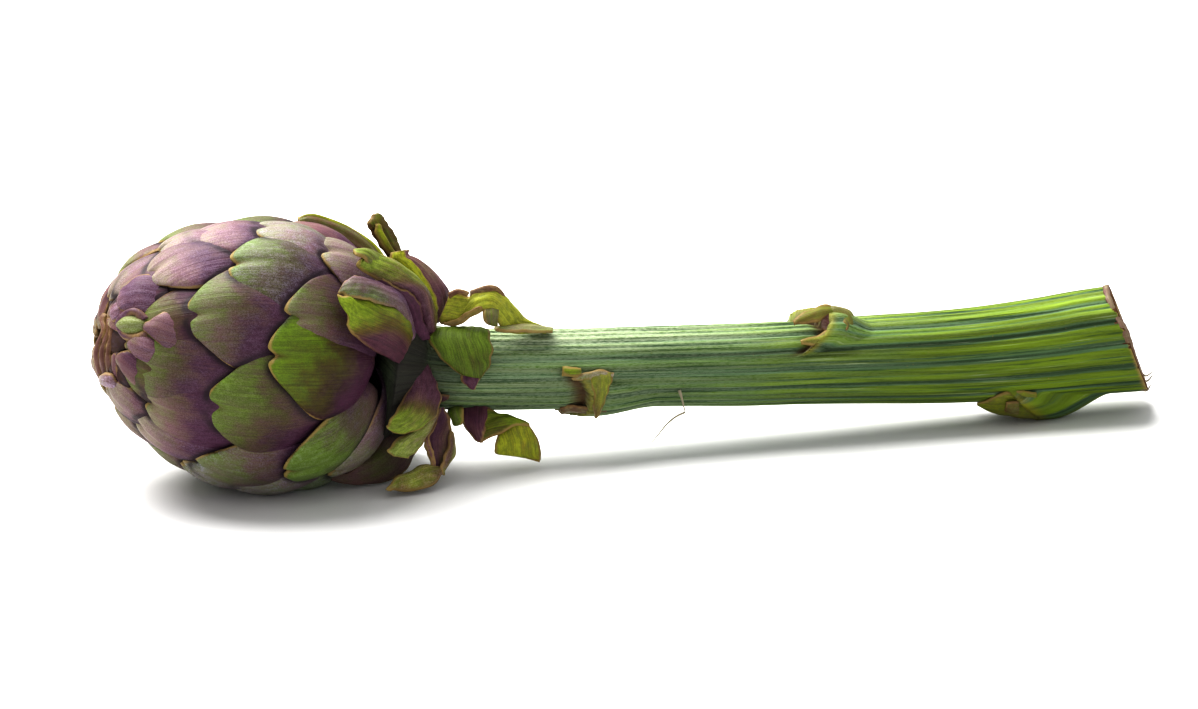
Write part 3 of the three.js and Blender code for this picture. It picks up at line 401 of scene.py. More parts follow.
# Fine fibres and torn shreds of skin, in millimetres: their radius, how green and how dry
# they are, and the points that they follow.
FIBRES = (
    (0.55, 0.1, 0.0, ((123, -11.2, 20.6), (123.4, -12, 18.9), (124.6, -12.2, 13.9))),
    (0.3, 0.1, 0.0, ((124.5, -12.2, 14), (121.5, -12.2, 12.8), (118.7, -12.2, 10.6),
                      (115.8, -12.2, 7.3), (114, -12.2, 5.4))),
    (0.5, 0.1, 0.3, ((268, -6, 15.5), (272.6, -7, 14.6), (275.8, -7, 12.2), (278.4, -7, 14))),
    (0.55, 0.1, 0.2, ((268, -6, 11.5), (273.2, -7, 10.6), (276.4, -7, 10.6), (278.2, -7, 12.6))),
    (0.6, 0.1, 0.4, ((268, -6, 9.5), (273.2, -7, 8.6), (276, -7.4, 7.6), (277.6, -7, 9.4))),
)

# ---- the sizes and colours that a user would change ------------------------
def colour(name, about, value):
    """A colour setting, given as linear red, green and blue."""
    return bpy.props.FloatVectorProperty(
        name=name, description=about, default=value, size=3, min=0.0, max=1.0, subtype="COLOR")


def length(name, about, value):
    """A length setting, given in millimetres and kept in metres."""
    return bpy.props.FloatProperty(name=name, description=about, default=value * MM, unit="LENGTH")


def angle(name, about, value):
    """An angle setting, given in degrees and kept in radians."""
    return bpy.props.FloatProperty(
        name=name, description=about, default=math.radians(value), subtype="ANGLE")


def number(name, about, value):
    """A setting that counts things."""
    return bpy.props.IntProperty(name=name, description=about, default=value)


def strength(name, about, value):
    """A setting for a light's strength."""
    return bpy.props.FloatProperty(name=name, description=about, default=value)


class HeadSizes(bpy.types.PropertyGroup):
    """Sizes of the head and of its bracts"""
    radius: length("Radius", "Middle of the head to its widest bracts", 38.7)
    front: length("Front", "Middle of the head to its apex", 48.5)
    back: length("Back", "Middle of the head to its base", 42.0)
    height: length("Height", "Middle of the head above the surface", 37.9)
    tilt: angle("Tilt", "How far the apex is raised", 8.35)
    core_depth: length("Heart depth", "How far the heart lies below the bracts' faces", 4.0)
    bracts: number("Bracts", "Bracts laid along the spiral", 63)
    buds: number("Bud bracts", "Small bracts at the apex", 10)
    turn: angle("Turn", "Turn from one bract to the next", 137.806)
    edge: length("Bract edge", "Thickness of a bract's edge", 0.5)
    flesh: length("Bract flesh", "Thickness of a bract away from its edge", 1.5)


class StalkSizes(bpy.types.PropertyGroup):
    """Sizes of the stalk and of the leaves on it"""
    ribs: number("Ribs", "Ribs round the stalk", 14)
    rib_height: length("Rib height", "How far the ribs stand out of the grooves", 0.55)
    blade: length("Leaf thickness", "Thickness of a spread bract or stalk leaf", 1.1)


class PlantColours(bpy.types.PropertyGroup):
    """Colours of the plant and of the floor"""
    pale: colour("Pale", "Bract tissue without its green", (0.31, 0.27, 0.18))
    leaf: colour("Leaf green", "Green of a bract", (0.115, 0.155, 0.024))
    fresh: colour("Fresh green", "Bright green of a bract's tip", (0.125, 0.195, 0.012))
    glow: colour("Glow", "Light through a thin leaf", (0.42, 0.44, 0.03))
    purple: colour("Purple tint", "What a thin purple skin lets through", (0.62, 0.355, 0.61))
    plum: colour("Plum tint", "What a dense purple skin lets through", (0.43, 0.265, 0.53))
    bloom: colour("Bloom", "Whitish wax on the bracts", (0.47, 0.44, 0.58))
    margin: colour("Margin", "Thin dried edge of a bract", (0.30, 0.21, 0.08))
    # Painted shade: under other bracts' edges, at the back of the apex, on the neck and stalk under
    # the head, and wherever a glow is below 0.
    shade: colour("Shade", "Skin close under another bract's edge", (0.02, 0.012, 0.016))
    dried: colour("Dried", "Dried tips and torn edges", (0.10, 0.045, 0.02))
    # Stalk pale is also painted light on the stalk's lit top.
    stalk_pale: colour("Stalk pale", "Downy ribs near the head", (0.52, 0.58, 0.42))
    stalk_green: colour("Stalk green", "Body of the stalk", (0.088, 0.158, 0.03))
    stalk_lime: colour("Stalk lime", "Yellow green towards the cut end", (0.145, 0.212, 0.006))
    stalk_blue: colour("Stalk blue", "Blue green of the ribs' sides", (0.088, 0.158, 0.075))
    scar: colour("Scar", "Dried skin over a shed leaf's scar", (0.24, 0.20, 0.02))
    # The grooves' darkness is partly painted shade.
    groove: colour("Groove", "Bottom of the grooves", (0.034, 0.068, 0.026))
    pith: colour("Pith", "Inside of the stalk at the cut", (0.58, 0.60, 0.40))
    floor: colour("Floor", "The studio floor", (0.70, 0.70, 0.705))


class StudioLights(bpy.types.PropertyGroup):
    """Strengths of the lights"""
    key: strength("Key", "Strength of the large lamp above", 52.0)
    fill: strength("Fill", "Strength of the lamp in front", 1.9)
    sky: strength("Sky", "Strength of the room's light", 0.95)


SETTINGS = {"artichoke_head": HeadSizes, "artichoke_stalk": StalkSizes,
            "artichoke_colours": PlantColours, "artichoke_lights": StudioLights}


# ---- numbers ---------------------------------------------------------------
def scatter(seed):
    """Seeded random numbers from 0 to 1, the same on every computer."""
    state = seed
    while True:
        state = (state * 1664525 + 1013904223) % 4294967296
        yield state / 4294967296


def unit(vectors):
    """Each vector at a length of 1."""
    return vectors / np.linalg.norm(vectors, axis=-1, keepdims=True)


def smooth(low, high, x):
    """A soft step from 0 at low to 1 at high."""
    t = np.clip((x - low) / (high - low), 0, 1)
    return t * t * (3 - 2 * t)


def blend_rows(rows, t):
    """A smooth curve through number rows, at every t from 0 to 1."""
    rows = np.asarray(rows, float)
    t = np.asarray(t, float)
    spans = len(rows) - 1
    k = np.minimum((t * spans).astype(int), spans - 1)
    f = (t * spans - k)[..., None]
    a, b, c, d = (rows[np.clip(k + step, 0, spans)] for step in (-1, 0, 1, 2))
    return b + 0.5 * f * (c - a + f * (2 * a - 5 * b + 4 * c - d + f * (3 * (b - c) + d - a)))


WAVES = 5                       # waves that make up a ripple
SLOWEST, FASTER = 0.5, 1.5      # their pace, and how much faster the fastest are
SEED_PRIME, SEED_OFFSET = 7919, 17      # they make a whole number of a ripple's seed


def ripple(x, y, seed):
    """Soft irregular waves over x and y, about -1 to 1."""
    draw = scatter(int(seed * SEED_PRIME) + SEED_OFFSET)
    total = 0
    for _ in range(WAVES):
        turn = 2 * math.pi * next(draw)
        pace = SLOWEST + FASTER * next(draw)
        start = 2 * math.pi * next(draw)
        total = total + np.sin(pace * (x * math.cos(turn) + y * math.sin(turn)) + start)
    return total / math.sqrt(WAVES) * 0.7


# ---- places as the camera sees them ----------------------------------------
NEAR_HEAD, FAR_HEAD = 900, 1150         # how far the camera is from the head, in millimetres
SIGHT_STEP = 0.2                        # the steps in which a line of sight is followed
LOWEST = 0.6                            # no blade's middle lies lower, in millimetres


def sight(view, x, y):
    """Unit ways from the camera through places in a close view."""
    left, top, scale = view
    across = (left + x / scale - FRAME_WIDTH / 2)[..., None] * CAMERA_RIGHT
    upward = (FRAME_HEIGHT / 2 - top - y / scale)[..., None] * CAMERA_UP
    return unit(across + upward - FRAME_WIDTH * CAMERA_LENS / CAMERA_SENSOR * CAMERA_BACK)


def at_depth(view, x, y, depth):
    """Places seen in a close view that lie at a depth (y), in millimetres."""
    if view is None:
        return np.stack([x, y, depth], -1)
    way = sight(view, x, y)
    camera = np.array(CAMERA_PLACE) / MM
    points = camera + ((depth - camera[1]) / way[..., 1])[..., None] * way
    points[..., 2] = np.maximum(points[..., 2], LOWEST)
    return points


def on_head(form, x, y, height):
    """Places seen in the apex view that stand at a height off the head's mean face."""
    ahead = np.arange(NEAR_HEAD, FAR_HEAD, SIGHT_STEP)[:, None]
    path = np.array(CAMERA_PLACE) / MM + ahead * sight(APEX_VIEW, x, y)[:, None, :]
    away = path - form.middle
    face = form.place(unit(away), 0 * away[..., 0]) - form.middle
    above = np.linalg.norm(away, axis=-1) - np.linalg.norm(face, axis=-1) - height[:, None]
    step = np.where((above <= 0).any(1), (above <= 0).argmax(1), above.argmin(1))
    return path[np.arange(len(path)), step]


def laid_rows(place, rows, looks):
    """A blade's rows in millimetres and its looks, with its outer face toward the camera."""
    rows = np.array(rows, float)
    first, second = place(*rows[:, :3].T), place(*rows[:, 3:6].T)
    middle = (first + second) / 2
    facing = np.cross((second - first).sum(0), middle[-1] - middle[0]) @ CAMERA_BACK
    if facing < 0:
        first, second = second, first
        looks = [(*look[:3], -look[3], *look[4:]) for look in looks]
    return np.column_stack([first, second, rows[:, 6]]), looks


# ---- mesh building ---------------------------------------------------------
class Skin:
    """Gathers points, faces and their paint values, and becomes one piece.

    On leaves, leaf is how far a point lies across, down and from the edge in millimetres, mood is
    green, purple and dry, and tone is bloom, a seed and glow, which above 0 is painted light through
    the leaf and below 0 painted shade. On the stalk, leaf is how far it lies round and along and how
    high its rib is, and mood is nearness to the cut end, scar and dark, which below 0 is painted
    shade.
    """

    def __init__(self):
        """Starts with no points and no faces."""
        self.points, self.faces = [], []
        self.paint = {"leaf": [], "mood": [], "tone": []}
        self.count = 0

    def add(self, points, leaf=(0, 0, 0), mood=(0, 0, 0), tone=(0, 0, 0)):
        """Points in millimetres with their paint values; gives their numbers."""
        shape = points.shape[:-1]
        first = self.count
        self.points.append(points.reshape(-1, 3))
        for name, values in (("leaf", leaf), ("mood", mood), ("tone", tone)):
            self.paint[name].append(np.broadcast_to(values, shape + (3,)).reshape(-1, 3))
        self.count += int(np.prod(shape))
        return np.arange(first, self.count).reshape(shape)

    def quads(self, ids, flip=False):
        """Faces between the neighbours of a grid of point numbers."""
        a, b, c, d = ids[:-1, :-1], ids[:-1, 1:], ids[1:, 1:], ids[1:, :-1]
        order = (d, c, b, a) if flip else (a, b, c, d)
        self.faces.append(np.stack(order, -1).reshape(-1, 4))

    def band(self, ring, low):
        """Faces between two closed rings of point numbers."""
        self.quads(np.stack([np.append(low, low[0]), np.append(ring, ring[0])]))

    def fan(self, ring, point, paint=(), flip=False):
        """Faces from a closed ring of point numbers to one more point."""
        tips = np.full_like(ring, self.add(point[None], *paint)[0])
        after = np.roll(ring, -1)
        order = (after, ring, tips) if flip else (ring, after, tips)
        self.faces.append(np.stack(order, -1))

    def tube(self, rings, ends=(), paint=(), flip=False):
        """Faces along closed rings of point numbers, and to a point that closes each end."""
        for row, after in zip(rings, rings[1:]):
            self.band(*((after, row) if flip else (row, after)))
        for ring, point, turned in zip((rings[0], rings[-1]), ends, (flip, not flip)):
            self.fan(ring, point, paint, turned)

    def piece(self, name, material, node):
        """Makes the finished piece, which rides on the root body in a node's place."""
        mesh = bpy.data.meshes.new(name)
        points = np.concatenate(self.points) * MM
        points[:, 2] = np.maximum(points[:, 2], 0)
        mesh.from_pydata(points.tolist(), [], [f for block in self.faces for f in block.tolist()])
        for title, rows in self.paint.items():
            values = np.concatenate(rows).astype(np.float32)
            attribute = mesh.attributes.new(title, "FLOAT_VECTOR", "POINT")
            attribute.data.foreach_set("vector", values.ravel())
        mesh.shade_smooth()
        mesh.materials.append(material)
        made = bpy.data.objects.new(name, mesh)
        bpy.context.scene.collection.objects.link(made)
        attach(made, "root")
        if node:
            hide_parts(node)


def rim_of(grid):
    """The edge of a grid, once round."""
    return np.concatenate([grid[0, :-1], grid[:-1, -1], grid[-1, :0:-1], grid[:0:-1, 0]])


# ---- the head --------------------------------------------------------------
class HeadForm:
    """The egg that the bracts lie on, in millimetres."""

    def __init__(self, sizes):
        """Works out the egg's axes and radii."""
        tilt = sizes.tilt
        self.radius, self.reach_front, self.reach_back = (
            sizes.radius / MM, sizes.front / MM, sizes.back / MM)
        self.middle = np.array([0, 0, sizes.height / MM])
        self.forward = np.array([-math.cos(tilt), 0, math.sin(tilt)])
        self.front = np.array([0.0, -1.0, 0.0])
        self.upward = np.array([math.sin(tilt), 0, math.cos(tilt)])

    def pressed_in(self, normal):
        """How far the head is pressed in where its surface faces along a normal."""
        return sum(depth * np.maximum(normal @ np.array(way), 0) ** power
                   for way, depth, power in PRESSED)

    def place(self, direction, height):
        """Points of the mean face in directions from the middle, raised by height."""
        along = direction @ self.forward
        reach = np.where(along > 0, self.reach_front, self.reach_back)
        side = direction - along[..., None] * self.forward
        normal = unit(side / self.radius + (along / reach)[..., None] * self.forward)
        return (self.middle + (along * reach)[..., None] * self.forward
                + side * self.radius + normal * (height - self.pressed_in(normal))[..., None])

    def behind(self, back):
        """The point of the head's axis that lies so far behind its middle."""
        return self.middle - self.forward * back

    def ring(self, back, radius, turns):
        """Points round the head's axis, back behind its middle."""
        away = np.cos(turns)[..., None] * self.front + np.sin(turns)[..., None] * self.upward
        return self.behind(np.asarray(back)[..., None]) + np.asarray(radius)[..., None] * away


# The spiral: where its first tip lies, in degrees from the apex and round the head, and how
# the angle from the apex grows with a bract's number.
TIP_START, TIP_STEP, TIP_POWER = 19.9, 0.802, 1.166
FIRST_TURN = 44.413
SCATTER_SEED = 20411
STRAY = (6, 3, 2, 14)           # how far a bract's turn, slip, width and roll vary,
STRAY_LIFT = 0.6                # and its lift, when it isn't among the settled ones

# By a bract's angle from the apex: its width grows up to one angle and shrinks beyond it, its
# length grows up to a limit, and it grows greener.
WIDTH_START, WIDTH_GROWS = 10, 0.33
WIDEST_AT, WIDEST, WIDTH_SHRINKS = 95, 41.4, 0.5
LENGTH_START, LENGTH_GROWS, LONGEST = 16, 0.3, 42
GREEN_START, GREEN_GROWS, GREEN_VARIES = 0.35, 0.007, 0.4
GOLDEN_PART = 0.618             # it spreads the varying greens evenly
USUAL_SKIN = (0.9, 0.2, 0, 0)   # the rest of a usual bract's look
DRY_TIPS, TIP_DRYNESS = 9, 0.2  # how many bracts by the apex have dry tips, and how dry

# The small bracts of the bud that closes the apex, in degrees and millimetres.
BUD_START, BUD_VARIES, BUD_ROLL = 15, 2, 30
BUD_WIDTH, BUD_NARROWS, BUD_LENGTH = 12, 0.4, 15
BUD_LIFT, BUD_SINK = 0.9, 4.4

# A bract's form: how high its tip stands, how it slopes and dives towards its root, and its
# crown; the width that has full relief; how far back its tip's corners are and how sharply they
# round, the tip's notch, where it is full and how much its root narrows.
TIP_HEIGHT, BRACT_SLOPE, BRACT_DIVE, BRACT_CROWN = 1.5, 0.02, 0.0045, 1.2
FULL_RELIEF = 30
FULL_TIP, TIP_CORNER, TIP_ROUND = 37, 5.7, 2.2
NOTCH_DEPTH, NOTCH_HALF = 2.2, 0.14
FULL_AT, ROOT_NARROWS = 0.42, 0.4

# Relief of a full bract's face in millimetres: its rounded shoulder and how far in that reaches,
# the tip's crease with its half width and length, the crown and how much lower its sides are,
# folds, fine ribs, dents, waved sides, a lobed tip and dry wrinkles.
SHOULDER, SHOULDER_REACH = 0.8, 1.1
CREASE, CREASE_HALF, CREASE_LENGTH = 0.8, 1.1, 7
CROWN, CROWN_SIDES = 0.8, 1.7
FOLDS, FINE_RIBS, DENTS, WAVED, LOBES, WRINKLES = 0.30, 0.025, 0.32, 0.2, 0.2, 0.45


def bract_plan(sizes, n, draw):
    """Where bract n's tip lies, and how wide, long, green and dry it is."""
    loose = [reach * next(draw) - reach / 2 for reach in STRAY] + [STRAY_LIFT * next(draw)]
    turn, slip, wider, roll, lift = SETTLED.get(n, loose)
    polar = TIP_START + TIP_STEP * n ** TIP_POWER + slip
    width = WIDTH_START + WIDTH_GROWS * polar
    if polar >= WIDEST_AT:
        width = WIDEST - WIDTH_SHRINKS * (polar - WIDEST_AT)
    green = GREEN_START + GREEN_GROWS * polar + GREEN_VARIES * ((n * GOLDEN_PART) % 1 - 0.5)
    return {
        "round": FIRST_TURN + math.degrees(sizes.turn) * n + turn, "polar": polar, "roll": roll,
        "lift": lift, "width": width + wider,
        "length": min(LENGTH_START + LENGTH_GROWS * polar, LONGEST),
        "look": LOOKS.get(n, (green, *USUAL_SKIN)),
        "dry": TIP_DRYNESS if n < DRY_TIPS else 0.0, "dim": 0.0, "seed": 0.37 + n, "rank": n,
    }


def bud_plan(sizes, k, draw):
    """A small bract of the bud: lower and drier behind the ones laid at the apex, and darkened there
    with painted shade.
    """
    polar = BUD_START - k + BUD_VARIES * next(draw)
    roll = BUD_ROLL * (next(draw) - 0.5)
    turn = FIRST_TURN - math.degrees(sizes.turn) * (k + 1)
    behind = float(smooth(-0.5, 0.3, math.cos(math.radians(turn))))
    lift = BUD_LIFT * next(draw) - BUD_SINK * (0.3 + 0.7 * behind)
    # Its dim is painted shade, deepest round the back of the apex.
    return {
        "round": turn, "polar": polar, "roll": roll, "lift": lift,
        "width": BUD_WIDTH - BUD_NARROWS * k, "length": BUD_LENGTH,
        "look": (0.2, 0.9, 0.1 - 0.1 * behind, 0, 0), "dry": 0.4 + 0.5 * behind,
        "dim": 0.7 * behind, "seed": 90.31 + k, "rank": -1 - k,
    }


def tip_edge(u, width):
    """How far a tip's edge is set back, from its notch to its corners."""
    scale = min(width / FULL_TIP, 1)
    notch = NOTCH_DEPTH * (1 - np.exp(-((u / NOTCH_HALF) ** 2)))
    return scale * (TIP_CORNER * np.abs(u) ** TIP_ROUND - notch)


def bract_half(v, width):
    """Half the width of a bract at v, from its tip (0) to its root (1)."""
    tip = 0.5 + 0.5 * np.sin(np.pi / 2 * np.clip(v / FULL_AT, 0, 1)) ** 0.8
    root = 1 - ROOT_NARROWS * (np.clip(v - FULL_AT, 0, 1) / (1 - FULL_AT)) ** 2
    return width / 2 * np.where(v < FULL_AT, tip, root)


def bract_points(form, plan, u, v, sunk):
    """Points of a bract and how far they are across and down it."""
    turn, polar, roll = (math.radians(plan[key]) for key in ("round", "polar", "roll"))
    radial = math.cos(turn) * form.front + math.sin(turn) * form.upward
    round_ = -math.sin(turn) * form.front + math.cos(turn) * form.upward
    tip = math.cos(polar) * form.forward + math.sin(polar) * radial
    down = -math.sin(polar) * form.forward + math.cos(polar) * radial
    heading = math.cos(roll) * down + math.sin(roll) * round_
    across = math.cos(roll) * round_ - math.sin(roll) * down
    half = bract_half(v, plan["width"])
    y = v * plan["length"] + (1 - v) ** 2 * tip_edge(u, plan["width"])
    x = u * half
    mean_radius = (form.radius + form.reach_front) / 2
    spine = np.cos(y / mean_radius)[..., None] * tip + np.sin(y / mean_radius)[..., None] * heading
    direction = (np.cos(x / form.radius)[..., None] * spine
                 + np.sin(x / form.radius)[..., None] * across)
    size = min(plan["width"] / FULL_RELIEF, 1)
    arch = BRACT_CROWN * (1 - u * u) * size * np.minimum(3 * v, 1)
    fall = BRACT_SLOPE * y + BRACT_DIVE * y * y
    edge = np.minimum((1 - np.abs(u)) * half, v * plan["length"])
    relief = size * bract_relief(plan["seed"], x, y, u, v, edge) + plan["look"][4] * u
    relief = relief + plan["dry"] * WRINKLES * ripple(x * 1.4, y * 0.35, plan["seed"] + 0.4)
    height = TIP_HEIGHT + arch - fall + plan["lift"] * (1 - v) ** 2 + relief
    return form.place(direction, height - sunk), np.stack([x, y, edge], -1)


def bract_relief(seed, x, y, u, v, edge):
    """A full bract's rounded shoulder, crease, folds, waved edges and crown, in millimetres."""
    shoulder = -SHOULDER * np.exp(-((edge / SHOULDER_REACH) ** 1.5))
    crease = -CREASE * np.exp(-((x / CREASE_HALF) ** 2)) * np.exp(-y / CREASE_LENGTH)
    bend, wobble = ripple(0 * x, y * 0.06, seed + 0.2), ripple(0 * x, y * 0.1, seed + 0.6)
    folds = FOLDS * np.cos(u * 4.6 + 2.2 * bend) * smooth(0, 10, y)
    ribs = FINE_RIBS * np.cos(x * 3.1 + 2 * wobble) * smooth(0, 5, y)
    dents = DENTS * ripple(x * 0.16, y * 0.13, seed + 0.5)
    waves = WAVED * np.abs(u) ** 4 * ripple(0 * x, y * 0.2 + np.sign(u), seed + 0.9)
    lobes = -LOBES * np.exp(-v / 0.06) * (0.4 + ripple(x * 0.15, 0 * y, seed + 0.7))
    crown = (CROWN - CROWN_SIDES * u * u) * (0.4 + 0.6 * smooth(0, 0.25, v))
    return shoulder + crease + folds + ribs + dents + waves + lobes + crown


def bract_paint(plan, x, y, u):
    """How green, purple and dry a bract is at each point, and its bloom."""
    green, purple, bloom, side, _ = plan["look"]
    down = y / plan["length"]
    chlorophyll = green * (1 - 0.72 * smooth(0, 1, down)) - 0.25 * np.abs(u) ** 4
    pigment = purple * (0.40 + 0.92 * smooth(0.1, 0.7, down)) * (1 + side * u)
    pigment = pigment + 0.3 * purple * np.abs(u) ** 3
    pigment = pigment - (0.25 + 0.5 * max(green - 0.6, 0)) * np.exp(-y / 5)
    waxed = bloom * (1 - 0.35 * down)
    spine = 0.9 * np.exp(-((x / 0.7) ** 2) - (y / 2.6) ** 2)
    mood = np.stack(np.broadcast_arrays(chlorophyll, pigment, plan["dry"] + spine), -1)
    tone = np.stack(np.broadcast_arrays(waxed, plan["seed"] % 1, 0.0), -1)
    return mood, tone


SMALL_BRACT = 16                # bracts narrower than this have fewer points
BRACT_GRID, SMALL_GRID = (57, 54), (35, 26)     # points across and down
CROWDED = 0.46                  # how far the points crowd to a bract's sides
LAID_PART = 0.98                # how much of a bract's length has a face
FREE_PART = 0.8                 # how much of it has an edge that lies over others

# Below a bract's rim its flesh closes in steps: the part of its span that each keeps, whether
# the edge's (0) or the flesh's (1) thickness sinks it, and how much deeper it goes in
# millimetres. Then it ends in one point at its root.
UNDER_STEPS = ((1, 0, 0), (0.86, 1, 0), (0.6, 1, 2.2))
UNDER_MIDDLE, ROOT_AT, ROOT_DEPTH = 0.45, 0.55, 14

PAINTED_SHADE_REACH, PAINTED_SHADE_FADE = 0.9, 0.6    # how far an edge's painted shade reaches over the skin below, in millimetres


def bract_grid(plan):
    """How far across (u) and down (v) a bract its points lie."""
    columns, rows = SMALL_GRID if plan["width"] < SMALL_BRACT else BRACT_GRID
    full = math.sin(CROWDED * math.pi)
    u = np.sin(np.linspace(-CROWDED, CROWDED, columns) * math.pi) / full
    v = LAID_PART * np.linspace(0, 1, rows) ** 1.5
    v, u = np.meshgrid(v, u, indexing="ij")
    return u, v


def bract_edge(form, plan):
    """The points along a bract's free edge."""
    u, v = bract_grid(plan)
    rim_u, rim_v = rim_of(u), rim_of(v)
    free = rim_v < FREE_PART
    return bract_points(form, plan, rim_u[free], rim_v[free], 0)[0]


def shade_under(face, edges):
    """How much painted shade a face gets, close under the edges that lie over it."""
    if not edges:
        return 0 * face[..., 0]
    rims = np.concatenate(edges)
    tree = KDTree(len(rims))
    for k, point in enumerate(rims):
        tree.insert(point, k)
    tree.balance()
    near = np.array([tree.find(point)[2] for point in face.reshape(-1, 3)])
    return np.exp(-np.maximum(near - PAINTED_SHADE_REACH, 0) / PAINTED_SHADE_FADE).reshape(face.shape[:-1])


def lay_bract(skin, form, sizes, plan, edges):
    """One bract of the closed head: its face, a thin edge, its flesh and its root."""
    u, v = bract_grid(plan)
    face, leaf = bract_points(form, plan, u, v, 0)
    mood, tone = bract_paint(plan, leaf[..., 0], leaf[..., 1], u)
    # Painted shade close under the edges that lie over it, or the plan's dim, also painted shade, kept
    # as a glow below 0.
    tone[..., 2] = -np.maximum(shade_under(face, edges), plan["dim"])
    ids = skin.add(face, leaf, mood, tone)
    skin.quads(ids)
    rim_u, rim_v, rim = rim_of(u), rim_of(v), rim_of(ids)
    paint = rim_of(leaf), rim_of(mood), rim_of(tone)
    thickness = (sizes.edge / MM, sizes.flesh / MM)
    for pull, part, deeper in UNDER_STEPS:
        below_v = UNDER_MIDDLE + (rim_v - UNDER_MIDDLE) * pull
        under, _ = bract_points(form, plan, rim_u * pull, below_v, thickness[part] + deeper)
        low = skin.add(under, *paint)
        skin.band(rim, low)
        rim = low
    root, _ = bract_points(form, plan, np.zeros(1), np.full(1, ROOT_AT), ROOT_DEPTH)
    skin.fan(rim, root[0])


NECK_RINGS = 30                 # rings of points along the neck
HEART_RINGS, HEART_AROUND = 40, 96      # the heart's rings, and the points in each
HEART_SPAN = (14, 128)          # from the apex, in degrees
HEART_DIP = 5                   # how deep the heart's front is hollowed, in millimetres


def neck_rings(form, stalk):
    """The ribbed neck between the stalk and the head's heart, with painted shade deepening towards the
    heart.
    """
    t = np.linspace(0, 1, NECK_RINGS)
    back, radius = blend_rows(NECK, t).T
    turns = np.linspace(0, 2 * np.pi, stalk.around, endpoint=False)
    ribs = stalk.rib_profile(np.degrees(turns), np.zeros(1))
    fade = (1 - 0.75 * t)[:, None]
    points = form.ring(np.repeat(back[:, None], stalk.around, 1), radius[:, None] + ribs * fade,
                       np.broadcast_to(turns, (NECK_RINGS, stalk.around)))
    leaf = np.stack(np.broadcast_arrays(
        STALK_ARC * turns[None, :], -(NECK[0, 0] - back[:, None]), ribs * 2 * fade), -1)
    # Painted shade towards the heart, kept as a dark value below 0.
    dim = -0.9 * smooth(-0.3, 0.6, t)[:, None] + 0 * leaf[..., 0]
    mood = np.stack(np.broadcast_arrays(0.0, 0.0, dim), -1)
    return points, leaf, mood


def heart_rings(form, depth):
    """The heart's rings of points, at a depth below the bracts, and their places back."""
    polar = np.radians(np.linspace(*HEART_SPAN, HEART_RINGS))
    reach = np.where(polar < np.pi / 2, form.reach_front, form.reach_back) - depth
    back = -reach * np.cos(polar)
    radius = (form.radius - depth) * np.sin(polar)
    turns = np.linspace(0, 2 * np.pi, HEART_AROUND, endpoint=False)
    dents = 0.4 * ripple(turns[None, :] * 3, back[:, None] * 0.2, 7.7)
    points = form.ring(np.repeat(back[:, None], HEART_AROUND, 1), radius[:, None] + dents,
                       np.broadcast_to(turns, (HEART_RINGS, HEART_AROUND)))
    away = unit(points - form.middle)
    points = points - away * form.pressed_in(away)[..., None]
    leaf = np.stack(np.broadcast_arrays(30 * turns[None, :], back[:, None], 0.0), -1)
    return points, leaf, back


# ---- the stalk -------------------------------------------------------------
STALK_RINGS = 300               # rings of points along the stalk
STALK_ARC = 12                  # its skin's millimetres in each radian round it
# How far a rib stands out of its groove and how deep and wide that is, in parts of a rib; then
# finer ribs and hairs in millimetres.
RIB_TOP, GROOVE_DEPTH, GROOVE_HALF = 0.42, 1.4, 0.13
FINER_RIBS, HAIRS = 0.17, 0.05
SCAR_PASSES, SCAR_HOLLOW = 6, 0.7   # rounds that settle a scar's lip, and its open face's depth
CUT_START, CUT_SPAN = 0.86, 0.14    # the slant's start and reach, in parts of the stalk
CUT_RIM, CUT_INSIDE = [1.0, 0.985], (0.95, 0.06, 26)    # rings of the cut face
CUT_WAY = (0.92, 0, 0.38)       # the way that its hollow goes
CUT_LIP, CUT_DEPTH = 0.97, 4.0  # its plug in the stalk: how wide and how deep
END_DEPTH = 1.5                 # how deep the stalk's skin ends behind the cut face


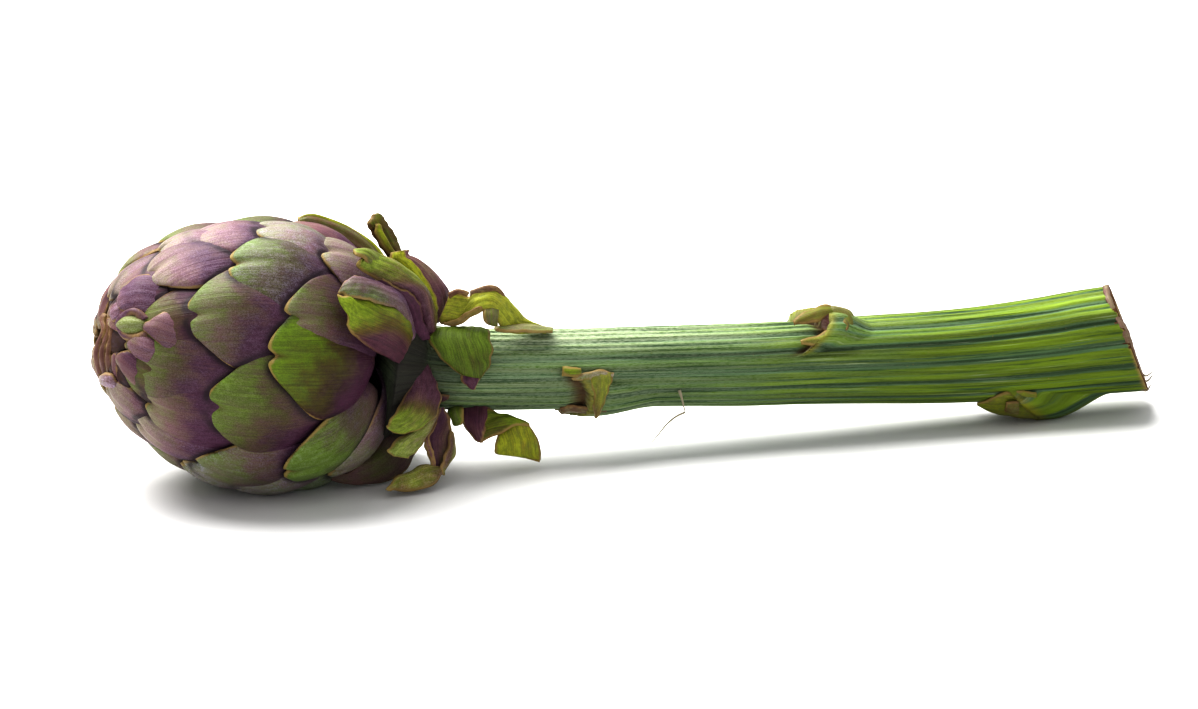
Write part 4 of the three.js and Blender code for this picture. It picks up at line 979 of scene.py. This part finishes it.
class StalkForm:
    """The ribbed stalk's surface, in millimetres."""

    around = 280                # points round the stalk

    def __init__(self, sizes, form):
        """Draws each rib's height."""
        self.form = form
        self.count = sizes.ribs
        draw = scatter(SCATTER_SEED + 1)
        self.heights = np.array([sizes.rib_height / MM * (0.6 + 0.8 * next(draw))
                                 for _ in range(sizes.ribs)])

    def axis(self, t):
        """Centres, ways along, ways up and radii at every t."""
        x, z, radius = blend_rows(STALK, t).T
        xa, za, _ = blend_rows(STALK, np.maximum(t - 0.01, 0)).T
        xb, zb, _ = blend_rows(STALK, np.minimum(t + 0.01, 1)).T
        way = unit(np.stack([xb - xa, 0 * x, zb - za], -1))
        way[t <= 0] = -self.form.forward
        up = np.stack([-way[:, 2], 0 * x, way[:, 0]], -1)
        return np.stack([x, 0 * x, z], -1), way, up, radius

    def rib_profile(self, angle, x):
        """Height of the ribs at angles round the stalk, for places x along it."""
        turn = (angle - RIB_TWIST * x[:, None]) / 360 * self.count % self.count
        k = turn.astype(int) % self.count
        f = turn % 1
        groove = np.minimum(f, 1 - f)
        depth = np.where(f < 0.5, self.heights[k], self.heights[(k + 1) % self.count])
        deeper = 0.5 + 0.6 * smooth(0, 170, x)[:, None]
        sunk = GROOVE_DEPTH * np.exp(-((groove / GROOVE_HALF) ** 2))
        body = depth * deeper * (RIB_TOP - sunk)
        fine = FINER_RIBS * np.cos(2 * np.pi * f * 2 + 1.3 * k) * smooth(0.05, 0.2, groove)
        hair = HAIRS * np.cos(2 * np.pi * f * 5 + 2.1 * k)
        return body + fine + hair

    def scars(self, angle, x):
        """Height and paint of the shed leaves' scars."""
        height, paint, dark = 0 * angle, 0 * angle, 0 * angle
        for n, scar in enumerate(SCARS):
            off = (angle - scar["side"] + 180) % 360 - 180
            ragged = 0.7 * ripple(off * 0.35, 0 * off, n + 0.3)
            v = (scar["x"] + scar["run"] - x) / scar["run"]
            for _ in range(SCAR_PASSES):
                u = off / scar["clasp"] / (0.35 + 0.65 * np.clip(v, 0, 1.2))
                lip = np.where(u < 0, *scar["lips"]) * np.minimum(np.abs(u), 1.2) ** 1.6
                v = (scar["x"] + scar["run"] - x) / (scar["run"] + lip + ragged)
            inside = smooth(1.06, 0.9, np.abs(u)) * smooth(1.012, 0.985, v) * (v > 0)
            rise = scar["rise"] * (1 - 0.6 * u * u)
            slope = np.sin(np.pi / 2 * np.clip(1.25 * v, 0, 1)) ** 1.4
            height = height + inside * rise * slope
            paint = np.maximum(paint, inside * smooth(0.75, 0.97, v))
            open_face = smooth(1.3, 1.04, v) * smooth(0.99, 1.0, v) * smooth(1.0, 0.7, np.abs(u))
            height = height - SCAR_HOLLOW * open_face
            dark = np.maximum(dark, open_face)
        return height, paint, dark


def stalk_rings(stalk):
    """The stalk's points and paint, ring by ring, with its slanted end."""
    t = np.linspace(0, 1, STALK_RINGS)
    centre, _, up, radius = stalk.axis(t)
    angle = np.linspace(0, 360, stalk.around, endpoint=False)[None, :] + RIB_TWIST * (
        centre[:, :1] - STALK[0, 0])
    ribs = stalk.rib_profile(angle, centre[:, 0] - STALK[0, 0])
    scar, paint, dark = stalk.scars(angle, np.repeat(centre[:, :1], stalk.around, 1))
    bends = 0.25 * ripple(np.radians(angle) * 2, centre[:, :1] * 0.05, 3.1)
    reach = radius[:, None] + ribs * (1 - 0.5 * paint) + scar + bends * smooth(0, 0.05, t)[:, None]
    turn = np.radians(angle)
    points = (centre[:, None, :] + (reach * np.cos(turn))[..., None] * stalk.form.front
              + (reach * np.sin(turn))[..., None] * up[:, None, :])
    cut = np.clip((t - CUT_START) / CUT_SPAN, 0, None)[:, None]
    lean = CUT_LEAN * (points[..., 2] - centre[:, None, 2])
    points[..., 0] += cut * (CUT_SKEW * points[..., 1] - lean)
    leaf = np.stack(np.broadcast_arrays(
        turn * STALK_ARC, centre[:, :1] - STALK[0, 0], ribs * 2), -1)
    mood = np.stack(np.broadcast_arrays(t[:, None], paint, dark), -1)
    return points, leaf, mood


def cut_face(rim, centre):
    """The cut face inside the stalk's last ring: a rounded rim round a hollow, and its paint."""
    scale = np.concatenate([CUT_RIM, np.linspace(*CUT_INSIDE)])[:, None, None]
    face = centre + (rim - centre) * scale
    inward = scale[..., 0]
    rough = 0.25 * ripple(face[..., 1] * 0.6, face[..., 2] * 0.6, 5.5)
    hollow = 0.25 - 1.6 * smooth(1.0, 0.55, inward) + rough * smooth(1.0, 0.9, inward)
    face = face + hollow[..., None] * np.array(CUT_WAY)
    leaf = np.stack([face[..., 1], face[..., 2], np.broadcast_to(inward, hollow.shape)], -1)
    return face, leaf


# ---- spread bracts and leaves ----------------------------------------------
BLADE_STEPS = (64, 25)          # points along and across a blade,
SMALL_BLADE = (40, 17)          # and a small one
TORN_THICKNESS = 0.8            # torn skin, in millimetres
# A blade's relief in millimetres: ragged and waved edges, ribs and dents; and how much of its
# thickness is left at its rim.
BLADE_RAGGED, BLADE_WAVED, BLADE_RIBS, BLADE_DENTS = 0.45, 0.5, 0.09, 0.28
BLADE_RIM = 0.35

# Seeds for the ripples of each group of blades: the first, and the step to the next.
SPREAD_SEEDS = (200.27, 1.13)
LEAF_SEEDS = (300.41, 1.37)
APEX_SEEDS = (400.31, 1.17)
TORN_SEEDS = (500.29, 1.21)
LOW_SEED, FOLD_STEP = 431.7, 0.21

FIBRE_STEPS, FIBRE_AROUND = 24, 8
FIBRE_PAINT = (0.3, 0.4, 0)     # bloom, a seed and no glow


def blade_points(rows, thick, u, v, face, seed):
    """Points of a blade on its outer (1) or inner (-1) face, and their paint."""
    row = blend_rows(rows, v)
    first, second, bulge = row[..., :3], row[..., 3:6], row[..., 6:]
    middle = (first + second) / 2
    way = np.gradient(middle, axis=0)
    across = second - first
    half = np.linalg.norm(across, axis=-1, keepdims=True) / 2
    across = across / (2 * half)
    normal = unit(np.cross(across, way))
    span = np.linalg.norm(np.diff(middle[:, 0], axis=0), axis=-1).sum()
    along = v * span
    ragged = BLADE_RAGGED * ripple(0 * v, along * 0.9 + 9 * np.sign(u), seed)[..., None]
    wide = half + np.minimum(ragged, 0.4 * half)
    s = u[..., None]
    steep = 2 * bulge * s / half
    outward = unit(normal + steep * across)
    rim = np.maximum(np.abs(u), 2 * v - 1)
    taper = BLADE_RIM + (1 - BLADE_RIM) * smooth(1.0, 0.75, rim)
    x, y = u * half[..., 0], (1 - v) * span
    waves = BLADE_WAVED * np.abs(u) ** 3 * ripple(0 * v, along * 0.35 + np.sign(u), seed + 0.5)
    ribs = BLADE_RIBS * np.cos(x * 2.4) + BLADE_DENTS * ripple(x * 0.35, y * 0.25, seed + 0.2)
    lift = (face * thick / 2 * taper + waves * smooth(0.05, 0.3, v) + ribs)[..., None]
    points = middle + across * wide * s + normal * bulge * (1 - s * s) + outward * lift
    edge = np.minimum((1 - np.abs(u)) * half[..., 0], y)
    return points, np.stack([x, y, edge], -1)


def blade_paint(look, leaf, u, v, seed):
    """How green, purple, waxed and dry a blade's face is at each point."""
    green, root, tip, side, bloom, dry, glow = look
    pigment = (root + (tip - root) * smooth(0.25, 0.85, v)) * (1 + side * u)
    pigment = pigment + 0.3 * np.exp(-leaf[..., 2] / 0.8)
    mood = np.stack(np.broadcast_arrays(green - 0.3 * (1 - v), pigment, dry), -1)
    tone = np.stack(np.broadcast_arrays(bloom, seed % 1, glow + 0 * v), -1)
    return mood, tone


def add_blade(skin, place, looks, rows, thick, seed, steps=BLADE_STEPS):
    """One closed blade: its outer face, its inner face and its edge."""
    rows, looks = laid_rows(place, rows, looks)
    v, u = np.meshgrid(np.linspace(0, 1, steps[0]), np.linspace(-1, 1, steps[1]), indexing="ij")
    ids = []
    for face, look in zip((1, -1), looks):
        points, leaf = blade_points(rows, thick, u, v, face, seed)
        ids.append(skin.add(points, leaf, *blade_paint(look, leaf, u, v, seed)))
    skin.quads(ids[0])
    skin.quads(ids[1], flip=True)
    skin.band(rim_of(ids[0]), rim_of(ids[1]))


def grow_blades(start, seeds, thick, material):
    """The spread bracts or stalk leaves whose names start so, each of one or more blades."""
    for n, (node, blades) in enumerate(BLADES.items()):
        if not node.startswith(start):
            continue
        skin = Skin()
        for k, (view, outer, inner, rows) in enumerate(blades):
            add_blade(skin, partial(at_depth, view), (outer, inner), rows, thick,
                      seeds[0] + seeds[1] * n + FOLD_STEP * k)
        skin.piece("fine_" + node, material, node)


def spin_fibre(skin, radius, green, dry, points):
    """A fine tapered fibre along a few points."""
    t = np.linspace(0, 1, FIBRE_STEPS)
    path = blend_rows(points, t)
    way = unit(np.gradient(path, axis=0))
    side = unit(np.cross(way, (0.3, 0.2, 1.0)))
    other = np.cross(way, side)
    turns = np.linspace(0, 2 * np.pi, FIBRE_AROUND, endpoint=False)[None, :, None]
    girth = (radius * (1 - 0.85 * t ** 1.5))[:, None, None]
    around = np.cos(turns) * side[:, None, :] + np.sin(turns) * other[:, None, :]
    paint = (0, 0, 5), (green, 0, dry), FIBRE_PAINT
    ids = skin.add(path[:, None, :] + girth * around, *paint)
    skin.tube(ids, (path[0], path[-1]), paint, flip=True)


# ---- materials -------------------------------------------------------------
class Finish:
    """A material being wired: each call adds a node and gives back its first output."""

    def __init__(self, name):
        """Starts from a new material's own surface shader."""
        self.material = bpy.data.materials.new(name)
        self.material.use_nodes = True
        self.tree = self.material.node_tree
        self.shader = self.tree.nodes["Principled BSDF"]

    def put(self, socket, value):
        """Links another node's output to a socket, or sets a number or a colour there."""
        if isinstance(value, bpy.types.NodeSocket):
            self.tree.links.new(value, socket)
        elif socket.type == "RGBA":
            socket.default_value = (*value, 1.0)
        else:
            socket.default_value = value

    def node(self, kind, inputs=(), output=0, **options):
        """A node of one kind, with its options set and its inputs put in."""
        made = self.tree.nodes.new("ShaderNode" + kind)
        for key, value in options.items():
            setattr(made, key, value)
        for key, value in dict(inputs).items():
            self.put(made.inputs[key], value)
        return made.outputs[output]

    def math(self, operation, a, b=0.0, c=0.0):
        """Arithmetic on two or three values."""
        return self.node("Math", {0: a, 1: b, 2: c}, operation=operation)

    def times(self, a, b):
        """One value times another."""
        return self.math("MULTIPLY", a, b)

    def plus(self, value, other, part):
        """A value with a part of another added."""
        return self.math("MULTIPLY_ADD", other, part, value)

    def vary(self, value, shade, part):
        """A value that an irregular shade from 0 to 1 raises and lowers."""
        return self.plus(value, self.math("SUBTRACT", shade, 0.5), part)

    def ramp(self, value, low, high, out_low=0.0, out_high=1.0):
        """A soft step of a value."""
        return self.node("MapRange", {
            "Value": value, "From Min": low, "From Max": high, "To Min": out_low, "To Max": out_high,
        }, interpolation_type="SMOOTHSTEP")

    def mix(self, factor, a, b, blend="MIX"):
        """A mix of two colours."""
        made = self.tree.nodes.new("ShaderNodeMix")
        made.data_type = "RGBA"
        made.blend_type = blend
        made.clamp_factor = True
        for key, value in ((0, factor), (6, a), (7, b)):
            self.put(made.inputs[key], value)
        return made.outputs[2]

    def dim(self, base, grey):
        """A colour made darker or brighter by a grey value."""
        return self.mix(1.0, base, self.node("CombineColor", {0: grey, 1: grey, 2: grey}), "MULTIPLY")

    def attribute(self, name):
        """The three paint values kept on a mesh under a name."""
        vector = self.node("Attribute", output="Vector", attribute_name=name)
        parts = self.tree.nodes.new("ShaderNodeSeparateXYZ")
        self.tree.links.new(vector, parts.inputs[0])
        return list(parts.outputs)

    def noise(self, x, y, shift, pace, detail=3.0, rough=0.55):
        """Irregular shades from 0 to 1, at a pace per millimetre along x and along y."""
        place = self.node("CombineXYZ", {
            0: self.times(x, pace[0]), 1: self.times(y, pace[1]), 2: shift})
        return self.node("TexNoise", {
            "Vector": place, "Scale": 1.0, "Detail": detail, "Roughness": rough})

    def finish(self, base, height, roughness, bump, distance, specular):
        """Wires the colour, roughness and bump, and gives the material back."""
        normal = self.node("Bump", {"Strength": bump, "Distance": distance, "Height": height})
        for key, value in (("Base Color", base), ("Roughness", roughness), ("Normal", normal),
                           ("Specular IOR Level", specular)):
            self.put(self.shader.inputs[key], value)
        return self.material


SEED_APART = 61.0               # how far apart two seeds' patterns lie
# How the skin of loose leaves differs: purple hides more of the green, and veins show more.
LEAF_SKIN = {"masked": (0.5, 1.3, 0.15), "veined": 1.2, "mottled": 0.8}


def bract_finish(paint, name="bract_skin", masked=(0.9, 1.8, 0.3), veined=0.5, mottled=0.88):
    """Bract tissue under a violet skin: veins, wax bloom, dried margins, tiny marks, painted light and
    painted shade.

    Purple from masked[0] to masked[1] takes the green down to masked[2].
    """
    f = Finish(name)
    across, down, edge = f.attribute("leaf")
    green, purple, dry = f.attribute("mood")
    bloom, seed, glow = f.attribute("tone")
    shift = f.times(seed, SEED_APART)
    side = f.math("ADD", across, shift)
    veins = f.noise(side, down, shift, (2.6, 0.07), 4.0, 0.6)
    broad = f.noise(side, down, shift, (0.12, 0.10))
    spots = f.noise(side, down, shift, (0.9, 0.5), 4.0)
    powder = f.noise(side, down, shift, (5.0, 3.6), 3.0, 0.7)
    freckle = f.noise(side, down, shift, (3.3, 3.3), 1.0)
    # Pale tissue, its green, and the light that comes through it.
    leafy = f.vary(f.vary(f.vary(green, broad, 1.5), veins, veined), spots, 0.4)
    leafy = f.times(leafy, f.ramp(purple, masked[0], masked[1], 1.0, masked[2]))
    base = f.mix(f.ramp(leafy, 0.0, 0.95), paint.pale, paint.leaf)
    base = f.mix(f.ramp(leafy, 0.8, 1.5), base, paint.fresh)
    base = f.mix(f.times(glow, f.ramp(spots, 0.2, 0.7, 0.6, 1.0)), base, paint.glow)
    # The purple skin over it, and its mottling.
    skin = f.vary(f.vary(f.vary(purple, broad, -1.6), veins, -0.5), spots, 0.6)
    base = f.mix(f.ramp(skin, 0.05, 0.85), base, paint.purple, "MULTIPLY")
    base = f.mix(f.ramp(skin, 0.7, 1.4), base, paint.plum, "MULTIPLY")
    grain = f.times(f.ramp(veins, 0.3, 0.7, mottled, 2.0 - mottled),
                    f.ramp(powder, 0.3, 0.7, 0.80, 1.20))
    grain = f.times(grain, f.ramp(spots, 0.3, 0.7, mottled, 2.0 - mottled))
    base = f.dim(base, grain)
    # Wax, dried margins and tips, freckles, and painted shade under other bracts and wherever glow is
    # below 0.
    dust = f.times(f.ramp(powder, 0.3, 0.7), f.ramp(spots, 0.3, 0.7, 0.25, 0.75))
    base = f.mix(f.times(bloom, dust), base, paint.bloom)
    thin = f.vary(edge, spots, 1.2)
    margin = f.times(f.ramp(thin, 1.0, 0.3, 0.0, 0.8), f.ramp(down, 30.0, 10.0))
    base = f.mix(margin, base, paint.margin)
    base = f.mix(f.times(dry, f.ramp(spots, 0.3, 0.6, 0.3, 1.0)), base, paint.dried)
    base = f.mix(f.ramp(freckle, 0.72, 0.78, 0.0, 0.5), base, paint.dried)
    base = f.mix(f.times(glow, -0.85), base, paint.shade)
    height = f.plus(f.plus(veins, powder, 0.15), spots, 0.4)
    rough = f.ramp(spots, 0.3, 0.7, 0.40, 0.55)
    return f.finish(base, height, rough, 0.5, 0.0003, 0.2)


STALK_TOP = 18.0                # the stalk's upper face, painted lighter as painted light, in skin millimetres from its near side


def stalk_finish(paint):
    """Stalk skin: pale downy ribs near the head, lime towards the cut, blue-green grooves, painted
    light and shade.
    """
    f = Finish("stalk_skin")
    arc, along, rib = f.attribute("leaf")
    end, scar, dark = f.attribute("mood")
    lines = f.noise(arc, along, 3.0, (1.5, 0.02), 5.0, 0.7)
    fuzz = f.noise(arc, along, 8.0, (5.0, 0.6), 3.0, 0.7)
    broad = f.noise(arc, along, 5.0, (0.12, 0.03), 2.0)
    bands = f.noise(arc, along, 9.0, (0.6, 0.012))
    specks = f.noise(arc, along, 2.0, (1.6, 1.1), 1.0)
    # The ribs' crests over their blue-green sides, in long bands, with the top painted lighter as
    # painted light, and dark grooves, whose darkness is partly painted shade.
    crest = f.ramp(f.vary(rib, lines, 2.0), -0.28, 0.28)
    deep = f.ramp(f.vary(rib, lines, 1.6), -0.95, -0.35)
    ripe = f.ramp(f.vary(end, broad, 0.8), 0.30, 0.75)
    base = f.mix(crest, paint.stalk_blue, f.mix(ripe, paint.stalk_green, paint.stalk_lime))
    # Painted light: the upper face is painted up to 1.3 times brighter.
    off_top = f.math("ABSOLUTE", f.math("SUBTRACT", arc, STALK_TOP))
    top = f.ramp(off_top, 12.0, 4.0, 0.35, 1.0)
    base = f.dim(base, f.times(f.ramp(bands, 0.35, 0.65, 0.6, 1.12), f.plus(0.8, top, 0.5)))
    base = f.mix(deep, paint.groove, base)
    # Pale down in strands near the head, which is also painted light, strongest on the lit top; with
    # pale and dark lines.
    downy = f.times(f.ramp(end, 0.75, 0.05, 0.12, 0.85), top)
    strands = f.plus(f.times(lines, 0.5), fuzz, 0.6)
    base = f.mix(f.times(downy, f.ramp(strands, 0.42, 0.62)), base, paint.stalk_pale)
    base = f.mix(f.ramp(lines, 0.58, 0.70, 0.0, 0.4), base, paint.stalk_pale)
    base = f.mix(f.ramp(lines, 0.47, 0.37, 0.0, 0.75), base, paint.groove)
    base = f.mix(f.ramp(specks, 0.74, 0.80, 0.0, 0.7), base, paint.margin)
    # The scars, painted shade under the head and on the neck, and the dried end.
    base = f.mix(f.times(scar, f.ramp(fuzz, 0.3, 0.7, 0.4, 0.85)), base, paint.scar)
    base = f.mix(f.times(dark, 0.85), base, paint.dried)
    under_head_shade = f.math("MAXIMUM", f.ramp(along, 16.0, -1.0, 0.0, 0.6), f.times(dark, -1.0))
    base = f.mix(under_head_shade, base, paint.shade)
    tip = f.ramp(f.vary(end, fuzz, 0.03), 0.985, 0.997)
    base = f.mix(f.times(tip, 0.8), base, paint.margin)
    rough = f.ramp(fuzz, 0.3, 0.7, 0.45, 0.65)
    return f.finish(base, f.plus(lines, fuzz, 0.4), rough, 0.6, 0.0004, 0.18)


def pith_finish(paint):
    """The cut face: pale pith, a ring of fibre ends and a dried rim."""
    f = Finish("cut_pith")
    across, down, out = f.attribute("leaf")
    speckle = f.noise(across, down, 1.0, (1.2, 1.2), 4.0, 0.7)
    blur = f.vary(out, speckle, 0.25)
    base = f.mix(f.ramp(blur, 0.70, 0.90), paint.pith, paint.margin)
    base = f.mix(f.ramp(blur, 0.86, 0.98), base, paint.dried)
    base = f.mix(f.ramp(speckle, 0.6, 0.72, 0.0, 0.7), base, paint.dried)
    return f.finish(base, speckle, 0.8, 0.8, 0.0006, 0.2)


def heart_finish(paint):
    """The heart's flesh seen between the bracts, painted dark as painted shade in the gaps."""
    f = Finish("heart_flesh")
    across, down, _ = f.attribute("leaf")
    grain = f.noise(across, down, 4.0, (0.8, 0.2))
    dark = [0.3 * part for part in paint.leaf]
    base = f.mix(f.ramp(grain, 0.3, 0.7), dark, paint.dried)
    return f.finish(base, grain, 0.7, 0.5, 0.0004, 0.2)


def floor_finish(paint):
    """A plain matt floor with the faintest grain."""
    f = Finish("studio_floor")
    place = f.node("TexCoord", output="Object")
    grain = f.node("TexNoise", {"Vector": place, "Scale": 900.0, "Detail": 2.0})
    darker = [0.985 * part for part in paint.floor]
    return f.finish(f.mix(grain, darker, paint.floor), grain, 0.7, 0.05, 0.0001, 0.1)


# ---- operators -------------------------------------------------------------
PIECE_ENDS = ((22, "bracts_upper"), (43, "bracts_middle"))  # the first bract beyond each piece
FLOOR_HALF = 6.0                # half the floor's width, in metres
GAMMA = 0.7                     # it deepens the shadows and the colours
AIM = (0.08, 0, 0.03)           # where the lamps point
KEY_PLACE, KEY_SIZE, KEY_TINT = (-0.25, 0.5, 1.15), 1.3, (1, 0.99, 0.97)
FILL_PLACE, FILL_SIZE, FILL_TINT = (-0.4, -1.2, 0.12), 0.8, (1, 1, 1)


def settings():
    """The sizes, colours and lights that a user may have changed."""
    scene = bpy.context.scene
    return (scene.artichoke_head, scene.artichoke_stalk, scene.artichoke_colours,
            scene.artichoke_lights)


def bract_pieces(sizes):
    """The plans of all bracts, under the piece that each belongs to."""
    draw = scatter(SCATTER_SEED)
    pieces = {"bracts_bud": [bud_plan(sizes, k, draw) for k in range(sizes.buds)]}
    pieces.update(bracts_upper=[], bracts_middle=[], bracts_lower=[])
    for n in range(sizes.bracts):
        plan = bract_plan(sizes, n, draw)
        name = next((name for beyond, name in PIECE_ENDS if n < beyond), "bracts_lower")
        if n not in FALLEN:
            pieces[name].append(plan)
    return pieces


def add_lamp(name, place, size, energy, tint):
    """A round, soft lamp."""
    data = bpy.data.lights.new(name, "AREA")
    data.shape = "DISK"
    data.size = size
    data.energy = energy
    data.color = tint
    made = bpy.data.objects.new(name, data)
    made.location = place
    made.rotation_euler = (Vector(AIM) - Vector(place)).to_track_quat("-Z", "Y").to_euler()
    bpy.context.scene.collection.objects.link(made)


class ARTICHOKE_OT_heart(bpy.types.Operator):
    """Make the heart that the bracts grow from, painted dark as painted shade, and the ribbed neck
    with painted shade towards the heart
    """
    bl_idname = "artichoke.heart"
    bl_label = "Heart and neck"

    def execute(self, context):
        """Makes both pieces, the neck in the stalk's skin."""
        sizes, stalk_sizes, paint, _ = settings()
        form = HeadForm(sizes)
        skin = Skin()
        points, leaf, back = heart_rings(form, sizes.core_depth / MM)
        ends = form.behind(back[0] + HEART_DIP), form.behind(back[-1])
        skin.tube(skin.add(points, leaf), ends)
        skin.piece("heart", heart_finish(paint), "head")

        skin = Skin()
        points, leaf, mood = neck_rings(form, StalkForm(stalk_sizes, form))
        ends = form.behind(NECK[0, 0]), form.behind(NECK[-1, 0])
        skin.tube(skin.add(points, leaf, mood), ends, flip=True)
        material = bpy.data.materials.get("stalk_skin") or stalk_finish(paint)
        skin.piece("neck", material, "head")
        return {"FINISHED"}


class ARTICHOKE_OT_bracts(bpy.types.Operator):
    """Lay the head's bracts along their spiral, and the small ones round the apex"""
    bl_idname = "artichoke.bracts"
    bl_label = "Head bracts"

    def execute(self, context):
        """Lays every bract in its piece, with painted shade under the edges of those that lie over it.
        """
        sizes, _, paint, _ = settings()
        form = HeadForm(sizes)
        material = bract_finish(paint)
        pieces = bract_pieces(sizes)
        flesh = sizes.flesh / MM
        laid = [plan for plans in pieces.values() for plan in plans]
        free = [bract_edge(form, plan) for plan in laid]
        for name, plans in pieces.items():
            skin = Skin()
            for plan in plans:
                over = [edge for other, edge in zip(laid, free) if other["rank"] > plan["rank"]]
                lay_bract(skin, form, sizes, plan, over)
            if name == "bracts_bud":
                for k, (look, rows) in enumerate(APEX):
                    add_blade(skin, partial(on_head, form), (look, look), rows, flesh,
                              APEX_SEEDS[0] + APEX_SEEDS[1] * k, SMALL_BLADE)
            if name == "bracts_lower":
                view, look, rows = LOW_BRACT
                add_blade(skin, partial(at_depth, view), (look, look), rows, flesh, LOW_SEED)
            skin.piece(name, material, "head")
        return {"FINISHED"}


class ARTICHOKE_OT_stalk(bpy.types.Operator):
    """Make the ribbed stalk with its leaf scars and slanted cut end"""
    bl_idname = "artichoke.stalk"
    bl_label = "Stalk"

    def execute(self, context):
        """Makes the stalk's skin, and its cut face as a plug in its end."""
        sizes, stalk_sizes, paint, _ = settings()
        skin = Skin()
        points, leaf, mood = stalk_rings(StalkForm(stalk_sizes, HeadForm(sizes)))
        ids = skin.add(points, leaf, mood)
        skin.tube(ids, flip=True)
        skin.fan(ids[0], points[0].mean(0), flip=True)
        rim, centre = points[-1], points[-1].mean(0)
        skin.fan(ids[-1], centre - (END_DEPTH, 0, 0), ((0, 0, 0), (1, 0, 0)))
        skin.piece("stalk_body", stalk_finish(paint), "stalk")

        skin = Skin()
        face, leaf = cut_face(rim, centre)
        ids = skin.add(face, leaf)
        skin.tube(ids, flip=True)
        skin.fan(ids[-1], face[-1].mean(0), (leaf[-1, :1],))
        back = centre + (rim - centre) * CUT_LIP - (CUT_DEPTH, 0, 0)
        low = skin.add(back, leaf[0])
        skin.band(ids[0], low)
        skin.fan(low, back.mean(0), ((0, 0, 1),), True)
        skin.piece("stalk_cut_face", pith_finish(paint), "stalk")
        return {"FINISHED"}


class ARTICHOKE_OT_spread_bracts(bpy.types.Operator):
    """Grow the bracts that stand off round the head's base"""
    bl_idname = "artichoke.spread_bracts"
    bl_label = "Spread bracts"

    def execute(self, context):
        """Grows each as a piece of its own."""
        _, sizes, paint, _ = settings()
        material = bract_finish(paint, "spread_bract_skin", **LEAF_SKIN)
        grow_blades("bract", SPREAD_SEEDS, sizes.blade / MM, material)
        return {"FINISHED"}


class ARTICHOKE_OT_stalk_leaves(bpy.types.Operator):
    """Grow the small leaves left on the stalk, and its torn skin and dried fibres"""
    bl_idname = "artichoke.stalk_leaves"
    bl_label = "Stalk leaves"

    def execute(self, context):
        """Grows the leaves, then the shreds and the fibres."""
        _, sizes, paint, _ = settings()
        material = bract_finish(paint, "stalk_leaf_skin", **LEAF_SKIN)
        grow_blades("stalk", LEAF_SEEDS, sizes.blade / MM, material)
        skin = Skin()
        for k, (view, look, rows) in enumerate(TORN):
            add_blade(skin, partial(at_depth, view), (look, look), rows, TORN_THICKNESS,
                      TORN_SEEDS[0] + TORN_SEEDS[1] * k, SMALL_BLADE)
        skin.piece("torn_skin", material, "stalk")
        skin = Skin()
        for fibre in FIBRES:
            spin_fibre(skin, *fibre)
        skin.piece("dried_fibres", material, None)
        return {"FINISHED"}


class ARTICHOKE_OT_studio(bpy.types.Operator):
    """Set the pale floor, the soft lamps and the camera"""
    bl_idname = "artichoke.studio"
    bl_label = "Studio"

    def execute(self, context):
        """Sets the floor, the lights, the view's contrast and the camera."""
        _, _, paint, lights = settings()
        scene = context.scene
        mesh = bpy.data.meshes.new("floor")
        corners = ((-1, -1), (1, -1), (1, 1), (-1, 1))
        mesh.from_pydata([(FLOOR_HALF * x, FLOOR_HALF * y, 0) for x, y in corners], [], [(0, 1, 2, 3)])
        mesh.materials.append(floor_finish(paint))
        floor = bpy.data.objects.new("floor", mesh)
        scene.collection.objects.link(floor)

        add_lamp("key_lamp", KEY_PLACE, KEY_SIZE, lights.key, KEY_TINT)
        add_lamp("fill_lamp", FILL_PLACE, FILL_SIZE, lights.fill, FILL_TINT)
        world = bpy.data.worlds.new("studio")
        world.use_nodes = True
        sky = world.node_tree.nodes["Background"].inputs
        sky["Color"].default_value = (1, 1, 1, 1)
        sky["Strength"].default_value = lights.sky
        scene.world = world
        scene.view_settings.view_transform = "Standard"
        scene.view_settings.gamma = GAMMA

        turn = Matrix((CAMERA_RIGHT, CAMERA_UP, CAMERA_BACK)).transposed().to_4x4()
        data = bpy.data.cameras.new("camera")
        data.lens = CAMERA_LENS
        data.sensor_width = CAMERA_SENSOR
        data.sensor_fit = "HORIZONTAL"
        camera = bpy.data.objects.new("camera", data)
        camera.matrix_world = Matrix.Translation(CAMERA_PLACE) @ turn
        scene.collection.objects.link(camera)
        scene.camera = camera
        return {"FINISHED"}


OPERATORS = (ARTICHOKE_OT_stalk, ARTICHOKE_OT_heart, ARTICHOKE_OT_bracts,
             ARTICHOKE_OT_spread_bracts, ARTICHOKE_OT_stalk_leaves, ARTICHOKE_OT_studio)


class ARTICHOKE_PT_panel(bpy.types.Panel):
    """The artichoke's settings and the pieces that it is made of"""
    bl_label = PANEL
    bl_idname = "ARTICHOKE_PT_panel"
    bl_space_type = "VIEW_3D"
    bl_region_type = "UI"
    bl_category = PANEL

    def draw(self, context):
        """Draws a button for each operator and a box for each group of settings."""
        for operator in OPERATORS:
            self.layout.operator(operator.bl_idname)
        for name, group in SETTINGS.items():
            box = self.layout.box()
            for key in group.__annotations__:
                box.prop(getattr(context.scene, name), key)


def register():
    """Adds the settings, the operators and the panel."""
    for group in SETTINGS.values():
        bpy.utils.register_class(group)
    for name, group in SETTINGS.items():
        setattr(bpy.types.Scene, name, bpy.props.PointerProperty(type=group))
    for kind in (*OPERATORS, ARTICHOKE_PT_panel):
        bpy.utils.register_class(kind)


def unregister():
    """Takes them away again."""
    for kind in reversed((*OPERATORS, ARTICHOKE_PT_panel)):
        bpy.utils.unregister_class(kind)
    for name in SETTINGS:
        delattr(bpy.types.Scene, name)
    for group in reversed(list(SETTINGS.values())):
        bpy.utils.unregister_class(group)


def main():
    """Makes every piece and the studio."""
    register()
    for operator in OPERATORS:
        family, name = operator.bl_idname.split(".")
        getattr(getattr(bpy.ops, family), name)()
    bpy.context.view_layer.update()


if __name__ == "__main__":
    main()
